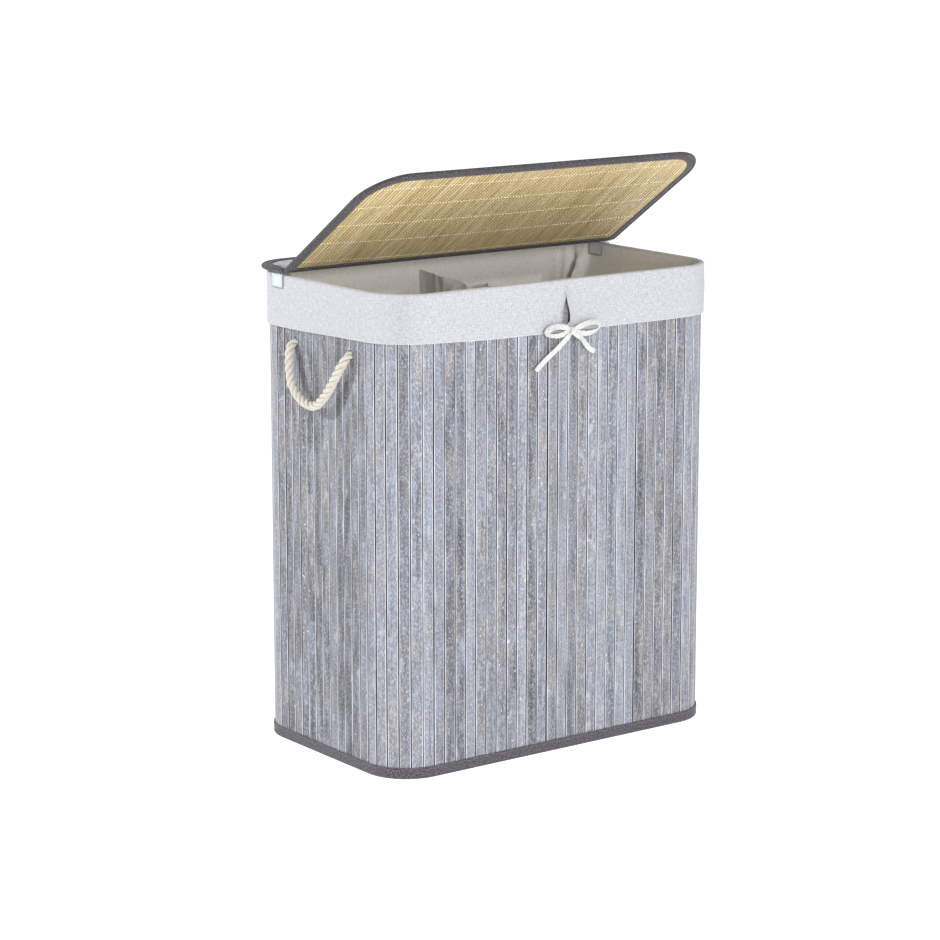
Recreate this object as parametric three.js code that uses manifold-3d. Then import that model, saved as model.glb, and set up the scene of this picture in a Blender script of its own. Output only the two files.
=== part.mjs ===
// Laundry hamper with a folding lid: a wall of bamboo slats on a cloth backing, a cotton liner
// with two compartments hung over the rim, rope handles and a lid of two bound bamboo panels.
// Millimetres, +Z up. The origin is the centre of the base, on the floor. +X runs along the long
// face, and the front faces -Y. The lid's front flap stands part open at rest.

import * as THREE from "three";
import { mergeVertices } from "three/addons/utils/BufferGeometryUtils.js";
import Module from "manifold-3d";

const wasm = await Module();
wasm.setup();

// ---- driving dimensions ----
const WIDTH = 515; // over the folded cuff, the widest part of the body
const DEPTH = 315;
const HEIGHT = 605; // to the top of the closed lid
const CUFF_PROUD = 3; // the cuff stands this far out from the slats
const CORNER_R = 58; // outside corner of the slat wall
const CORNER_STEPS = 6; // slats round each corner, and facets of everything that follows it
const FRONT_SLATS = 25;
const SIDE_SLATS = 12;
const SLAT_T = 2.4;
const GROOVE_W = 1.2; // between two slats
const GROOVE_DEEP = 1.4;
const CLOTH_T = 0.6;
const GAP = 0.3; // left between pieces that touch
const WIRE_R = 1.5;
const BINDING_T = 0.8;
const BINDING_H = 14;
const RIM_Z = 597.2; // top of the liner's fold
const CUFF_T = 1.4;
const HEM_Z = 532; // lower edge of the cuff
const HEM_H = 10; // height of the channel that the drawstring runs in
const BASE_CLOTH_T = 0.9;
const BOARD_T = 3;
const BAG_Z = 8; // lowest point of the liner
const BAG_T = 1.2;
const BAG_SLACK = 8; // the bag hangs this far in from the slats' outer face, front and back
const BAG_CLEAR = 22.5; // and this far at the sides, past the rope knots
const DIVIDER_DROP = 22; // from the rim to the divider's top edge, at its ends
const DIVIDER_SAG = 20;

const HANDLE_Z = 516; // height of the rope holes
const HANDLE_Y = -4; // middle of the handle, from the middle of the side
const HANDLE_HALF = 60; // half the distance between the holes
const ROPE_R = 5.75;
const STUB_R = 5.6; // the rope is squeezed a little in its hole
const HOLE_R = 6.2;
const PIVOT_OUT = 6.4; // the rope swings about a line this far off the wall

const LID_T = 5.4;
const LID_SIDE = 4; // overhang past the cuff at the sides and the back
const LID_FRONT = 10; // overhang at the front
const LID_R = 59;
const LID_STEPS = 8;
const FOLD_Y = 71.5; // the line that the flap turns about, at the lid's top face
const FOLD_GAP = 1;
const FLAP_OPEN = 34; // degrees that the flap stands open at rest
const LID_BINDING_W = 13;
const LID_BINDING_T = 1;
const LID_SLAT_T = 2;
const LID_SLAT_W = 16;
const MAT_T = 0.8;
const CLIP_Y = 89;
const CLIP_W = 26;
const CLIP_T = 1.5;
const CLIP_LEG = 17; // from the rim down

// ---- worked out from them ----
const WALL_W = WIDTH - 2 * CUFF_PROUD;
const WALL_D = DEPTH - 2 * CUFF_PROUD;
const CX = WALL_W / 2 - CORNER_R; // centre of each corner
const CY = WALL_D / 2 - CORNER_R;
const BACKING_D = SLAT_T + GAP;
const INNER_D = BACKING_D + CLOTH_T; // inner face of the backing, measured in from the slats' face
const BAG_D = INNER_D + 2 * GAP + BINDING_T + 0.2;
const FOLD_UNDER = RIM_Z - CUFF_T;
const TOP_WEB = FOLD_UNDER - GAP; // top of the top binding
const TOP_WIRE_Z = TOP_WEB - BINDING_T - GAP - WIRE_R;
const SLAT_TOP = TOP_WIRE_Z - WIRE_R - GAP;
const BOTTOM_WIRE_Z = BINDING_T + GAP + WIRE_R;
const SLAT_BOTTOM = BOTTOM_WIRE_Z + WIRE_R + GAP;
const LID_Z = HEIGHT - LID_T;
const LID_X = WIDTH / 2 + LID_SIDE;
const LID_BACK = DEPTH / 2 + LID_SIDE;
const LID_FORE = -DEPTH / 2 - LID_FRONT;

// ---- materials ----
const finish = (color, roughness, metalness = 0) =>
  new THREE.MeshStandardMaterial({ color, roughness, metalness });
const greyBamboo = finish(0x8f8f9b, 0.6);
const naturalBamboo = finish(0xbfa877, 0.65);
const binding = finish(0x5a565c, 0.9);
const backing = finish(0x6e6b70, 0.95);
const cotton = finish(0xe4e4ea, 0.95);
const tape = finish(0xeeeeea, 0.95);
const rope = finish(0xe3ddcb, 0.9);
const wire = finish(0x8a8a8a, 0.4, 1);
const board = finish(0x9a7d58, 0.8);
const clear = new THREE.MeshStandardMaterial({
  color: 0xdfeaf0,
  roughness: 0.15,
  transparent: true,
  opacity: 0.4,
});

const hamper = new THREE.Group();

function add(name, geometry, material, parent = hamper) {
  const mesh = new THREE.Mesh(geometry, material);
  mesh.name = name;
  parent.add(mesh);
  return mesh;
}

// ---- outlines ----
// A station is a point of an outline with the direction out of it. Going in by d is the point
// less d times that direction, which at a sharp corner is longer than one.
function arc(cx, cy, r, start, steps) {
  return Array.from({ length: steps + 1 }, (_, i) => {
    const a = THREE.MathUtils.degToRad(start + (90 * i) / steps);
    return { x: cx + r * Math.cos(a), y: cy + r * Math.sin(a), nx: Math.cos(a), ny: Math.sin(a) };
  });
}

const CORNERS = [
  { name: "front_left", stations: arc(-CX, -CY, CORNER_R, 180, CORNER_STEPS) },
  { name: "front_right", stations: arc(CX, -CY, CORNER_R, 270, CORNER_STEPS) },
  { name: "back_right", stations: arc(CX, CY, CORNER_R, 0, CORNER_STEPS) },
  { name: "back_left", stations: arc(-CX, CY, CORNER_R, 90, CORNER_STEPS) },
];
const WALL = CORNERS.flatMap((corner) => corner.stations);

// A straight side, split into equal widths, a little short of the corners that it meets.
function side(nx, ny, count) {
  const half = (nx === 0 ? CX : CY) - GAP;
  const out = nx === 0 ? WALL_D / 2 : WALL_W / 2;
  return Array.from({ length: count + 1 }, (_, i) => {
    const along = -half + (2 * half * i) / count;
    return { x: nx * out - ny * along, y: ny * out + nx * along, nx, ny };
  });
}

const SIDES = [
  { name: "front", normal: [0, -1], slats: FRONT_SLATS },
  { name: "right", normal: [1, 0], slats: SIDE_SLATS },
  { name: "back", normal: [0, 1], slats: FRONT_SLATS },
  { name: "left", normal: [-1, 0], slats: SIDE_SLATS },
];

// Where a section point [d, z] or [dx, z, dy] lies at a station.
function place(station, [dx, z, dy = dx]) {
  return new THREE.Vector3(station.x - station.nx * dx, station.y - station.ny * dy, z);
}

// ---- closed bodies ----
function body(points, index) {
  const flat = points.flatMap((p) => [p.x, p.y, p.z]);
  let volume = 0;
  for (let i = 0; i < index.length; i += 3) {
    const [a, b, c] = [0, 1, 2].map((k) => points[index[i + k]]);
    volume += a.dot(new THREE.Vector3().crossVectors(b, c));
  }
  if (volume < 0) index.reverse();
  const geometry = new THREE.BufferGeometry();
  geometry.setAttribute("position", new THREE.Float32BufferAttribute(flat, 3));
  geometry.setIndex(index);
  return geometry;
}

// A section carried along stations. A ring closes on itself, and a length is capped at its ends.
// The section of a length is a strip of cloth or plate: its first half runs along one face, and
// its second half back along the other.
function carry(stations, section, ring) {
  const n = section.length;
  const points = stations.flatMap((station) => section.map((p) => place(station, p)));
  const index = [];
  const quad = (a, b, c, d) => index.push(a, b, c, a, c, d);
  const rows = ring ? stations.length : stations.length - 1;
  for (let i = 0; i < rows; i++) {
    const a = i * n;
    const b = ((i + 1) % stations.length) * n;
    for (let j = 0; j < n; j++) quad(a + j, b + j, b + ((j + 1) % n), a + ((j + 1) % n));
  }
  if (!ring) {
    const end = (stations.length - 1) * n;
    for (let j = 0; j < n / 2 - 1; j++) {
      const across = n - 1 - j;
      quad(j, j + 1, across - 1, across);
      quad(end + across, end + across - 1, end + j + 1, end + j);
    }
  }
  return body(points, index);
}

const strip = (outer, inner) => [...outer, ...inner.toReversed()];

// A plate of an outline's shape, from one height up by a thickness.
function plate(points, z, thickness) {
  const shape = new THREE.Shape(points.map(([x, y]) => new THREE.Vector2(x, y)));
  const geometry = new THREE.ExtrudeGeometry(shape, { depth: thickness, bevelEnabled: false });
  return geometry.translate(0, 0, z);
}

const inset = (stations, d) => stations.map((s) => [s.x - s.nx * d, s.y - s.ny * d]);

function solid(geometry) {
  const bare = geometry.clone();
  for (const name of Object.keys(bare.attributes)) {
    if (name !== "position") bare.deleteAttribute(name);
  }
  const merged = mergeVertices(bare, 1e-4);
  return new wasm.Manifold(
    new wasm.Mesh({
      numProp: 3,
      vertProperties: Float32Array.from(merged.attributes.position.array),
      triVerts: Uint32Array.from(merged.index.array),
    }),
  );
}

function geometryOf(manifold) {
  const mesh = manifold.getMesh();
  const geometry = new THREE.BufferGeometry();
  geometry.setAttribute("position", new THREE.BufferAttribute(mesh.vertProperties, 3));
  geometry.setIndex(new THREE.BufferAttribute(mesh.triVerts, 1));
  return geometry;
}

const cut = (geometry, tool) => geometryOf(solid(geometry).subtract(solid(tool)));
const join = (geometry, other) => geometryOf(solid(geometry).add(solid(other)));

function circle(r, count, d, z) {
  return Array.from({ length: count }, (_, i) => {
    const a = (2 * Math.PI * i) / count;
    return [d + r * Math.cos(a), z + r * Math.sin(a)];
  });
}

// A U of cloth or tape round an edge, opening towards the panel that it binds. The first pair of
// values is the U's outside across the wall, and the sign turns it over.
function uSection(low, high, web, legEnd, thickness) {
  const up = Math.sign(legEnd - web);
  const outer = [[low, legEnd], [low, web], [high, web], [high, legEnd]];
  const inner = [
    [low + thickness, legEnd],
    [low + thickness, web + up * thickness],
    [high - thickness, web + up * thickness],
    [high - thickness, legEnd],
  ];
  return strip(outer, inner);
}

// ---- the slat wall ----
// Slats glued edge to edge, with a groove at each joint between two of them.
function slatPanel(stations, bottom, top, thickness) {
  const outer = stations.flatMap((s, i) => {
    if (i === 0 || i === stations.length - 1) return [[s.x, s.y]];
    const [tx, ty] = [(-s.ny * GROOVE_W) / 2, (s.nx * GROOVE_W) / 2];
    return [
      [s.x - tx, s.y - ty],
      [s.x - s.nx * GROOVE_DEEP, s.y - s.ny * GROOVE_DEEP],
      [s.x + tx, s.y + ty],
    ];
  });
  return plate([...outer, ...inset(stations, thickness).toReversed()], bottom, top - bottom);
}

function holeCutters(sign) {
  return [-1, 1].map((end) =>
    new THREE.CylinderGeometry(HOLE_R, HOLE_R, 20, 16)
      .rotateZ(Math.PI / 2)
      .translate((sign * WALL_W) / 2, HANDLE_Y + end * HANDLE_HALF, HANDLE_Z),
  );
}

function buildWall() {
  for (const { name, normal, slats } of SIDES) {
    let panel = slatPanel(side(...normal, slats), SLAT_BOTTOM, SLAT_TOP, SLAT_T);
    if (normal[0] !== 0) {
      for (const tool of holeCutters(normal[0])) panel = cut(panel, tool);
    }
    add(`${name}_slats`, panel, greyBamboo);
  }
  for (const { name, stations } of CORNERS) {
    add(`${name}_corner_slats`, slatPanel(stations, SLAT_BOTTOM, SLAT_TOP, SLAT_T), greyBamboo);
  }
  const clothSection = [
    [BACKING_D, SLAT_BOTTOM],
    [INNER_D, SLAT_BOTTOM],
    [INNER_D, SLAT_TOP],
    [BACKING_D, SLAT_TOP],
  ];
  let cloth = carry(WALL, clothSection, true);
  for (const tool of [...holeCutters(-1), ...holeCutters(1)]) cloth = cut(cloth, tool);
  add("backing_cloth", cloth, backing);

  const low = -GAP - BINDING_T;
  const high = INNER_D + GAP + BINDING_T;
  const wireD = (INNER_D - GAP) / 2;
  add("bottom_binding", carry(WALL, uSection(low, high, 0, BINDING_H, BINDING_T), true), binding);
  add("bottom_hoop", carry(WALL, circle(WIRE_R, 8, wireD, BOTTOM_WIRE_Z), true), wire);
  const topSection = uSection(low, high, TOP_WEB, TOP_WEB - BINDING_H, BINDING_T);
  add("top_binding", carry(WALL, topSection, true), binding);
  add("top_hoop", carry(WALL, circle(WIRE_R, 8, wireD, TOP_WIRE_Z), true), wire);

  add("base_cloth", plate(inset(WALL, high + GAP), 0, BASE_CLOTH_T), binding);
  add("base_board", plate(inset(WALL, high + GAP + 0.5), BASE_CLOTH_T + GAP, BOARD_T), board);
}

// ---- rope handles ----
// The rope end: a short length in its hole, and the knot that holds it inside the wall.
function ropeEnd() {
  const profile = [
    [0, 0], [STUB_R, 0], [STUB_R, 4.0], [10.5, 4.3], [13.8, 8],
    [14, 12], [11.5, 16.5], [5.5, 19.8], [0, 20.4],
  ];
  return new THREE.LatheGeometry(profile.map(([r, h]) => new THREE.Vector2(r, h)), 14);
}

// The hanging rope, as [out from the wall, along the side from the handle's middle, height].
const ROPE_ROUTE = [
  [PIVOT_OUT, 60, 516], [9.8, 59.8, 511], [11.9, 57.8, 502.5], [13.2, 54.4, 490.5],
  [14.3, 50.6, 478.4], [15.2, 44.4, 466.6], [15.5, 36.2, 458.6], [15.6, 23, 450.9],
  [15.6, 9.5, 447.4], [15.6, -2, 447.2], [15.5, -12.5, 450.6], [15.1, -22.5, 458.4],
  [14.5, -33.6, 470.2], [13.6, -43.8, 483.8], [12.2, -52.6, 497], [9.8, -58.4, 509.5],
  [PIVOT_OUT, -60, 516],
];

// Ball ends, centred on the line that the loop swings about, keep it clear of the wall as it turns.
function ropeLoop(sign) {
  const points = ROPE_ROUTE.map(
    ([out, y, z]) => new THREE.Vector3(sign * (WALL_W / 2 + out), HANDLE_Y + y, z),
  );
  const round = new THREE.Shape().absarc(0, 0, ROPE_R, 0, 2 * Math.PI, false);
  let loop = new THREE.ExtrudeGeometry(round, {
    steps: 32,
    curveSegments: 5,
    bevelEnabled: false,
    extrudePath: new THREE.CatmullRomCurve3(points, false, "centripetal"),
  });
  for (const end of [points[0], points.at(-1)]) {
    const ball = new THREE.SphereGeometry(ROPE_R, 10, 8).translate(end.x, end.y, end.z);
    loop = join(loop, ball);
  }
  return loop;
}

function buildHandles() {
  for (const [name, sign] of [["left", -1], ["right", 1]]) {
    for (const [where, end] of [["front", -1], ["back", 1]]) {
      const knot = ropeEnd()
        .rotateZ((sign * Math.PI) / 2)
        .translate(sign * (WALL_W / 2 + GAP), HANDLE_Y + end * HANDLE_HALF, HANDLE_Z);
      add(`${name}_${where}_rope_knot`, knot, rope);
    }
    add(`${name}_rope_handle`, ropeLoop(sign), rope);
  }
}

// ---- the liner ----
// The bag hangs straight down from the rim past the lid's clips, then slants in to clear the knots.
const SLANT_TOP = 574;
const SLANT_END = 530;

function bagSection(dx, dy) {
  const levels = [[BAG_Z, dx, dy], [SLANT_END, dx, dy], [SLANT_TOP, BAG_D, BAG_D]];
  levels.push([FOLD_UNDER - GAP, BAG_D, BAG_D]);
  const face = (t) => levels.map(([z, x, y]) => [x + t, z, y + t]);
  return strip(face(0), face(BAG_T));
}

// The cuff folds over the rim and hangs outside. Its hem is hollowed for the drawstring.
function cuffSection() {
  const hem = CUFF_T - 0.9;
  const channel = HEM_Z + HEM_H;
  const end = BAG_D + BAG_T;
  const [out, top] = [-CUFF_PROUD, RIM_Z];
  return strip(
    [[out, HEM_Z], [out, channel], [out, channel + 1], [out, top], [end, top]],
    [
      [out + hem, HEM_Z],
      [out + hem, channel],
      [out + CUFF_T, channel + 1],
      [out + CUFF_T, top - CUFF_T],
      [end, top - CUFF_T],
    ],
  );
}

// The slit in the middle of the cuff's front, a pointed oval.
const SLIT = { x: -1, z: 562, halfWidth: 5.2, halfHeight: 17 };

function slitCutter() {
  const { x, z, halfWidth, halfHeight } = SLIT;
  const shape = new THREE.Shape();
  shape.moveTo(0, -halfHeight);
  shape.quadraticCurveTo(2 * halfWidth, 0, 0, halfHeight);
  shape.quadraticCurveTo(-2 * halfWidth, 0, 0, -halfHeight);
  const cutter = new THREE.ExtrudeGeometry(shape, {
    depth: 8,
    curveSegments: 8,
    bevelEnabled: false,
  });
  return cutter.rotateX(Math.PI / 2).translate(x, -DEPTH / 2 + 4, z);
}

function dividerShape() {
  const yLow = WALL_D / 2 - BAG_SLACK - BAG_T - GAP;
  const yHigh = WALL_D / 2 - BAG_D - BAG_T - GAP;
  const top = RIM_Z - DIVIDER_DROP;
  const shape = new THREE.Shape();
  const yTop = yLow + ((yHigh - yLow) * (top - SLANT_END)) / (SLANT_TOP - SLANT_END);
  shape.moveTo(-yLow, BAG_Z + BAG_T + GAP);
  shape.lineTo(yLow, BAG_Z + BAG_T + GAP);
  shape.lineTo(yLow, SLANT_END);
  shape.lineTo(yTop, top);
  shape.quadraticCurveTo(0, top - 2 * DIVIDER_SAG, -yTop, top);
  shape.lineTo(-yLow, SLANT_END);
  return shape;
}

function buildLiner() {
  for (const { name, normal } of SIDES) {
    const d = normal[0] === 0 ? BAG_SLACK : BAG_CLEAR;
    add(`liner_${name}`, carry(side(...normal, 1), bagSection(d, d), false), cotton);
    let cuff = carry(side(...normal, 1), cuffSection(), false);
    if (name === "front") cuff = cut(cuff, slitCutter());
    add(`cuff_${name}`, cuff, cotton);
  }
  for (const { name, stations } of CORNERS) {
    const bag = carry(stations, bagSection(BAG_CLEAR, BAG_SLACK), false);
    add(`liner_${name}_corner`, bag, cotton);
    add(`cuff_${name}_corner`, carry(stations, cuffSection(), false), cotton);
  }
  const [dx, dy] = [BAG_CLEAR + BAG_T + GAP, BAG_SLACK + BAG_T + GAP];
  const floor = WALL.map((s) => [s.x - s.nx * dx, s.y - s.ny * dy]);
  add("liner_bottom", plate(floor, BAG_Z, BAG_T), cotton);

  const sheet = new THREE.ExtrudeGeometry(dividerShape(), {
    depth: BAG_T,
    curveSegments: 16,
    bevelEnabled: false,
  });
  sheet.rotateX(Math.PI / 2).rotateZ(Math.PI / 2).translate(-BAG_T / 2, 0, 0);
  add("liner_divider", sheet, cotton);
}

// ---- the drawstring and its bow ----
const BOW = { x: 5, z: 534, tapeW: 7, tapeT: 1.6, knotR: 4.6, out: 6.5 };
const bowY = -DEPTH / 2 - BOW.out;

// A flat tape along a route of points, as [x, out, z] from the knot's middle.
function tapeAlong(route, steps, width = BOW.tapeW) {
  const points = route.map(([x, out, z]) => new THREE.Vector3(BOW.x + x, bowY - out, BOW.z + z));
  const section = new THREE.Shape();
  const [w, t] = [width / 2, BOW.tapeT / 2];
  section.moveTo(-t, -w); // its flat side faces the front
  section.lineTo(t, -w);
  section.lineTo(t, w);
  section.lineTo(-t, w);
  return new THREE.ExtrudeGeometry(section, {
    steps,
    bevelEnabled: false,
    extrudePath: new THREE.CatmullRomCurve3(points, false, "centripetal"),
  });
}

// Each loop leaves the knot, goes out and round, and comes back beside where it left.
const LEFT_LOOP = [
  [-5.6, 0.5, 3], [-15, 2.5, 6.5], [-28, 3, 9], [-39, 2, 7],
  [-41, 0.5, 1], [-32, 0, -4], [-17, 0.5, -4.5], [-5.6, 0, -1.6],
];
const RIGHT_LOOP = [
  [5.6, 0.5, 2], [14, 2.5, 6], [29, 3, 9], [42, 2, 6.5],
  [46, 0.5, -0.5], [36, 0, -6.5], [19, 0.5, -6], [5.6, 0, -2],
];
const LEFT_TAIL = [
  [-5.4, 2.6, -5.4], [-10, 2.8, -9.2], [-17, 2.4, -15], [-25, 1, -21.5],
  [-34, -1, -28.5], [-43, -2.2, -36], [-52, -2.8, -43.5],
];
const RIGHT_TAIL = [
  [5.4, 2.6, -5.4], [11, 2.8, -9], [18, 2.2, -14.5], [25, 0.8, -20.5],
  [33, -0.8, -26.5], [41, -1.8, -31.5],
];

function buildDrawstring() {
  const low = -CUFF_PROUD + 0.8;
  const cordSection = [
    [low, HEM_Z + 2],
    [low + CLOTH_T, HEM_Z + 2],
    [low + CLOTH_T, HEM_Z + 8],
    [low, HEM_Z + 8],
  ];
  add("drawstring", carry(WALL, cordSection, true), tape);
  const knot = new THREE.SphereGeometry(BOW.knotR, 12, 8).scale(1, 0.8, 1.1);
  add("bow_knot", knot.translate(BOW.x, bowY, BOW.z), tape);
  add("bow_left_loop", tapeAlong(LEFT_LOOP, 24, 5), tape);
  add("bow_right_loop", tapeAlong(RIGHT_LOOP, 24, 5), tape);
  add("bow_left_tail", tapeAlong(LEFT_TAIL, 12), tape);
  add("bow_right_tail", tapeAlong(RIGHT_TAIL, 12), tape);
}

// ---- the lid ----
const sharp = (x, y, nx, ny) => ({ x, y, nx, ny });
const REAR_EDGE = FOLD_Y + FOLD_GAP;
const FLAP_EDGE = FOLD_Y - 0.4;

const REAR_OUTLINE = [
  sharp(-LID_X, REAR_EDGE, -1, -1),
  sharp(LID_X, REAR_EDGE, 1, -1),
  ...arc(LID_X - LID_R, LID_BACK - LID_R, LID_R, 0, LID_STEPS),
  ...arc(LID_R - LID_X, LID_BACK - LID_R, LID_R, 90, LID_STEPS),
];
const FLAP_OUTLINE = [
  ...arc(LID_R - LID_X, LID_FORE + LID_R, LID_R, 180, LID_STEPS),
  ...arc(LID_X - LID_R, LID_FORE + LID_R, LID_R, 270, LID_STEPS),
  sharp(LID_X, FLAP_EDGE, 1, 1),
  sharp(-LID_X, FLAP_EDGE, -1, 1),
];

// Slats run from front to back, with a groove in the top face at each joint.
function lidSlats(outline, z) {
  let panel = plate(outline, z, LID_SLAT_T);
  const ys = outline.map(([, y]) => y);
  const [low, high] = [Math.min(...ys) - 5, Math.max(...ys) + 5];
  const half = Math.max(...outline.map(([x]) => x)) - LID_SLAT_W / 3;
  const count = Math.round((2 * half) / LID_SLAT_W);
  for (let i = 0; i <= count; i++) {
    const x = -half + (2 * half * i) / count;
    const groove = new THREE.BoxGeometry(GROOVE_W, high - low, 2);
    groove.translate(x, (low + high) / 2, z + LID_SLAT_T + 0.2);
    panel = cut(panel, groove);
  }
  return panel;
}

// One bound panel: slats over a mat, both held with a wire frame in the fold of the binding.
function lidPanel(name, outline, parent) {
  const edge = LID_BINDING_T + 0.25 + 2 * WIRE_R + GAP;
  const floor = LID_Z + LID_BINDING_T + 0.15;
  const matOutline = inset(outline, edge);
  add(`${name}_mat`, plate(matOutline, floor, MAT_T), naturalBamboo, parent);
  add(`${name}_slats`, lidSlats(matOutline, floor + MAT_T + GAP), greyBamboo, parent);
  const wireD = LID_BINDING_T + 0.25 + WIRE_R;
  const frame = carry(outline, circle(WIRE_R, 8, wireD, LID_Z + LID_T / 2), true);
  add(`${name}_wire_frame`, frame, wire, parent);
  const [low, high, t, w] = [LID_Z, LID_Z + LID_T, LID_BINDING_T, LID_BINDING_W];
  const c = 1.2; // the binding's outer edges are rounded off
  const section = strip(
    [[w, low], [c, low], [0, low + c], [0, high - c], [c, high], [w, high]],
    [[w, low + t], [c, low + t], [t, low + c], [t, high - c], [c, high - t], [w, high - t]],
  );
  add(`${name}_binding`, carry(outline, section, true), binding, parent);
}

// A clip of bent clear sheet, which hangs on the rim under the lid's rear strip.
function clip(sign) {
  const out = CUFF_PROUD + GAP + 0.1;
  const inside = BAG_D + BAG_T + 1.3; // its back end reaches past the start of the corner
  const web = RIM_Z + GAP;
  const legEnd = RIM_Z - CLIP_LEG;
  const outline = uSection(-out - CLIP_T, inside + CLIP_T, web + CLIP_T, legEnd, CLIP_T);
  const ends = [-1, 1].map((end) => ({
    x: (sign * WALL_W) / 2,
    y: CLIP_Y + (end * CLIP_W) / 2,
    nx: sign,
    ny: 0,
  }));
  return carry(ends, outline, false);
}

function buildLid() {
  lidPanel("lid_rear", REAR_OUTLINE, hamper);
  const tapeHalf = LID_X - LID_BINDING_W;
  const hinge = new THREE.BoxGeometry(2 * tapeHalf, CLOTH_T, LID_T - 1.2);
  hinge.translate(0, FOLD_Y + 0.1 + CLOTH_T / 2, LID_Z + LID_T / 2 + 0.1);
  add("hinge_tape", hinge, binding);
  add("left_clip", clip(-1), clear);
  add("right_clip", clip(1), clear);

  // The flap is laid out closed, and turned up about the fold.
  const turn = new THREE.Group();
  turn.position.set(0, FOLD_Y, HEIGHT);
  turn.rotation.x = -THREE.MathUtils.degToRad(FLAP_OPEN);
  const flap = new THREE.Group();
  flap.position.set(0, -FOLD_Y, -HEIGHT);
  turn.add(flap);
  hamper.add(turn);
  lidPanel("lid_flap", FLAP_OUTLINE, flap);
}

buildWall();
buildHandles();
buildLiner();
buildDrawstring();
buildLid();

export default hamper;
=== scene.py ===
"""Laundry hamper with a folding lid, dressed round its fixed frame.

The wall is a run of grey stained bamboo slats between two cloth bindings. A cotton liner hangs
inside it, folded over the rim as a cuff with a bow, and a lid of two bound bamboo panels lies on
clear clips. Everything is in metres, +Z up, with the front facing -Y.
"""

from __future__ import annotations

import logging
import math
import random
from collections.abc import Callable, Sequence
from dataclasses import dataclass, field
from enum import Enum

import bmesh
import bpy
from mathutils import Matrix, Vector, noise

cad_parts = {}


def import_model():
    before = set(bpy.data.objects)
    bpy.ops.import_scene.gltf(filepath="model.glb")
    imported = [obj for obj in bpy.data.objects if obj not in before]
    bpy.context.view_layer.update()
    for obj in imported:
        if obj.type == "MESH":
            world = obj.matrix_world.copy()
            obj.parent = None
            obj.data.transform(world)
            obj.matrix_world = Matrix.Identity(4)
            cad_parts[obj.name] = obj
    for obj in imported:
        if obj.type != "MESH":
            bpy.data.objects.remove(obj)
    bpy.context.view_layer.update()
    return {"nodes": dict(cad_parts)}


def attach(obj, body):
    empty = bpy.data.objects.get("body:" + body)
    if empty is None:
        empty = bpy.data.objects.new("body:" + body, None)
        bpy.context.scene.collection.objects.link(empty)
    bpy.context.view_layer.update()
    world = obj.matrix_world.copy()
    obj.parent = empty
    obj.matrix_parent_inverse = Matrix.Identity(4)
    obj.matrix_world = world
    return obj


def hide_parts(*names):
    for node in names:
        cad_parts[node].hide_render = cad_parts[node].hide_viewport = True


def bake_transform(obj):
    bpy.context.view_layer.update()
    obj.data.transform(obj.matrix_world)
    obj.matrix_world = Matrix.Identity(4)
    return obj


LOG = logging.getLogger("hamper")
MM = 0.001
Colour = tuple[float, float, float, float]
Point = tuple[float, float, float]
Pair = tuple[float, float]

# The rope holes through the side walls.
HOLE_RADIUS = 6.2 * MM
HOLES_Y = (-64 * MM, 56 * MM)
HOLE_Z = 516 * MM


class Slot(Enum):
    """The record's material slots."""

    GREY_BAMBOO = "grey_bamboo"
    NATURAL_BAMBOO = "natural_bamboo"
    BINDING = "binding_cloth"
    BACKING = "backing_cloth"
    LINER = "liner_cotton"
    TAPE = "cotton_tape"
    ROPE = "cotton_rope"
    STEEL = "steel_wire"
    BOARD = "fibreboard"
    PLASTIC = "clear_plastic"


class Body(Enum):
    """The frame's moving bodies."""

    HAMPER = "hamper_body"
    LINER = "liner"
    LID_REAR = "lid_rear"
    LID_FLAP = "lid_flap"
    LEFT_HANDLE = "left_handle"
    RIGHT_HANDLE = "right_handle"


# ---- colour and nodes ----


def linear(code: str) -> Colour:
    """Turns an sRGB hex colour to linear.

    Args:
        code: six hex digits.

    Returns:
        The linear colour with full alpha.
    """
    parts = [int(code[i : i + 2], 16) / 255 for i in (0, 2, 4)]
    bare = [c / 12.92 if c <= 0.04045 else ((c + 0.055) / 1.055) ** 2.4 for c in parts]
    return (bare[0], bare[1], bare[2], 1.0)


def put(
    tree: bpy.types.NodeTree,
    kind: str,
    feeds: dict[str | int, object] | None = None,
    stops: Sequence[tuple[float, str]] = (),
    **settings: object,
) -> bpy.types.Node:
    """Adds one node with its settings and links.

    Args:
        tree: the tree it goes in.
        kind: its type, without the ShaderNode prefix.
        feeds: what each input is linked to, or its value.
        stops: a colour ramp's places and hex colours.
        settings: the node's own properties.

    Returns:
        The node.
    """
    node = tree.nodes.new("ShaderNode" + kind)
    for key, value in settings.items():
        setattr(node, key, value)
    for key, value in (feeds or {}).items():
        if isinstance(value, bpy.types.NodeSocket):
            tree.links.new(value, node.inputs[key])
        else:
            node.inputs[key].default_value = value
    if stops:
        ramp = node.color_ramp.elements
        while len(ramp) < len(stops):
            ramp.new(0.5)
        for element, (place, code) in zip(ramp, stops):
            element.position = place
            element.color = linear(code)
    return node


def blank(name: str) -> tuple[bpy.types.Material, bpy.types.NodeTree]:
    """Makes a material with an empty node tree."""
    material = bpy.data.materials.new(name)
    material.use_nodes = True
    material.node_tree.nodes.clear()
    return material, material.node_tree


# A mix node's settings for one colour times another.
MULTIPLY = {"data_type": "RGBA", "blend_type": "MULTIPLY"}


def shade(tree: bpy.types.NodeTree, feeds: dict[str | int, object]) -> None:
    """Adds the surface shader and the output."""
    surface = put(tree, "BsdfPrincipled", feeds)
    put(tree, "OutputMaterial", {"Surface": surface.outputs["BSDF"]})


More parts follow.
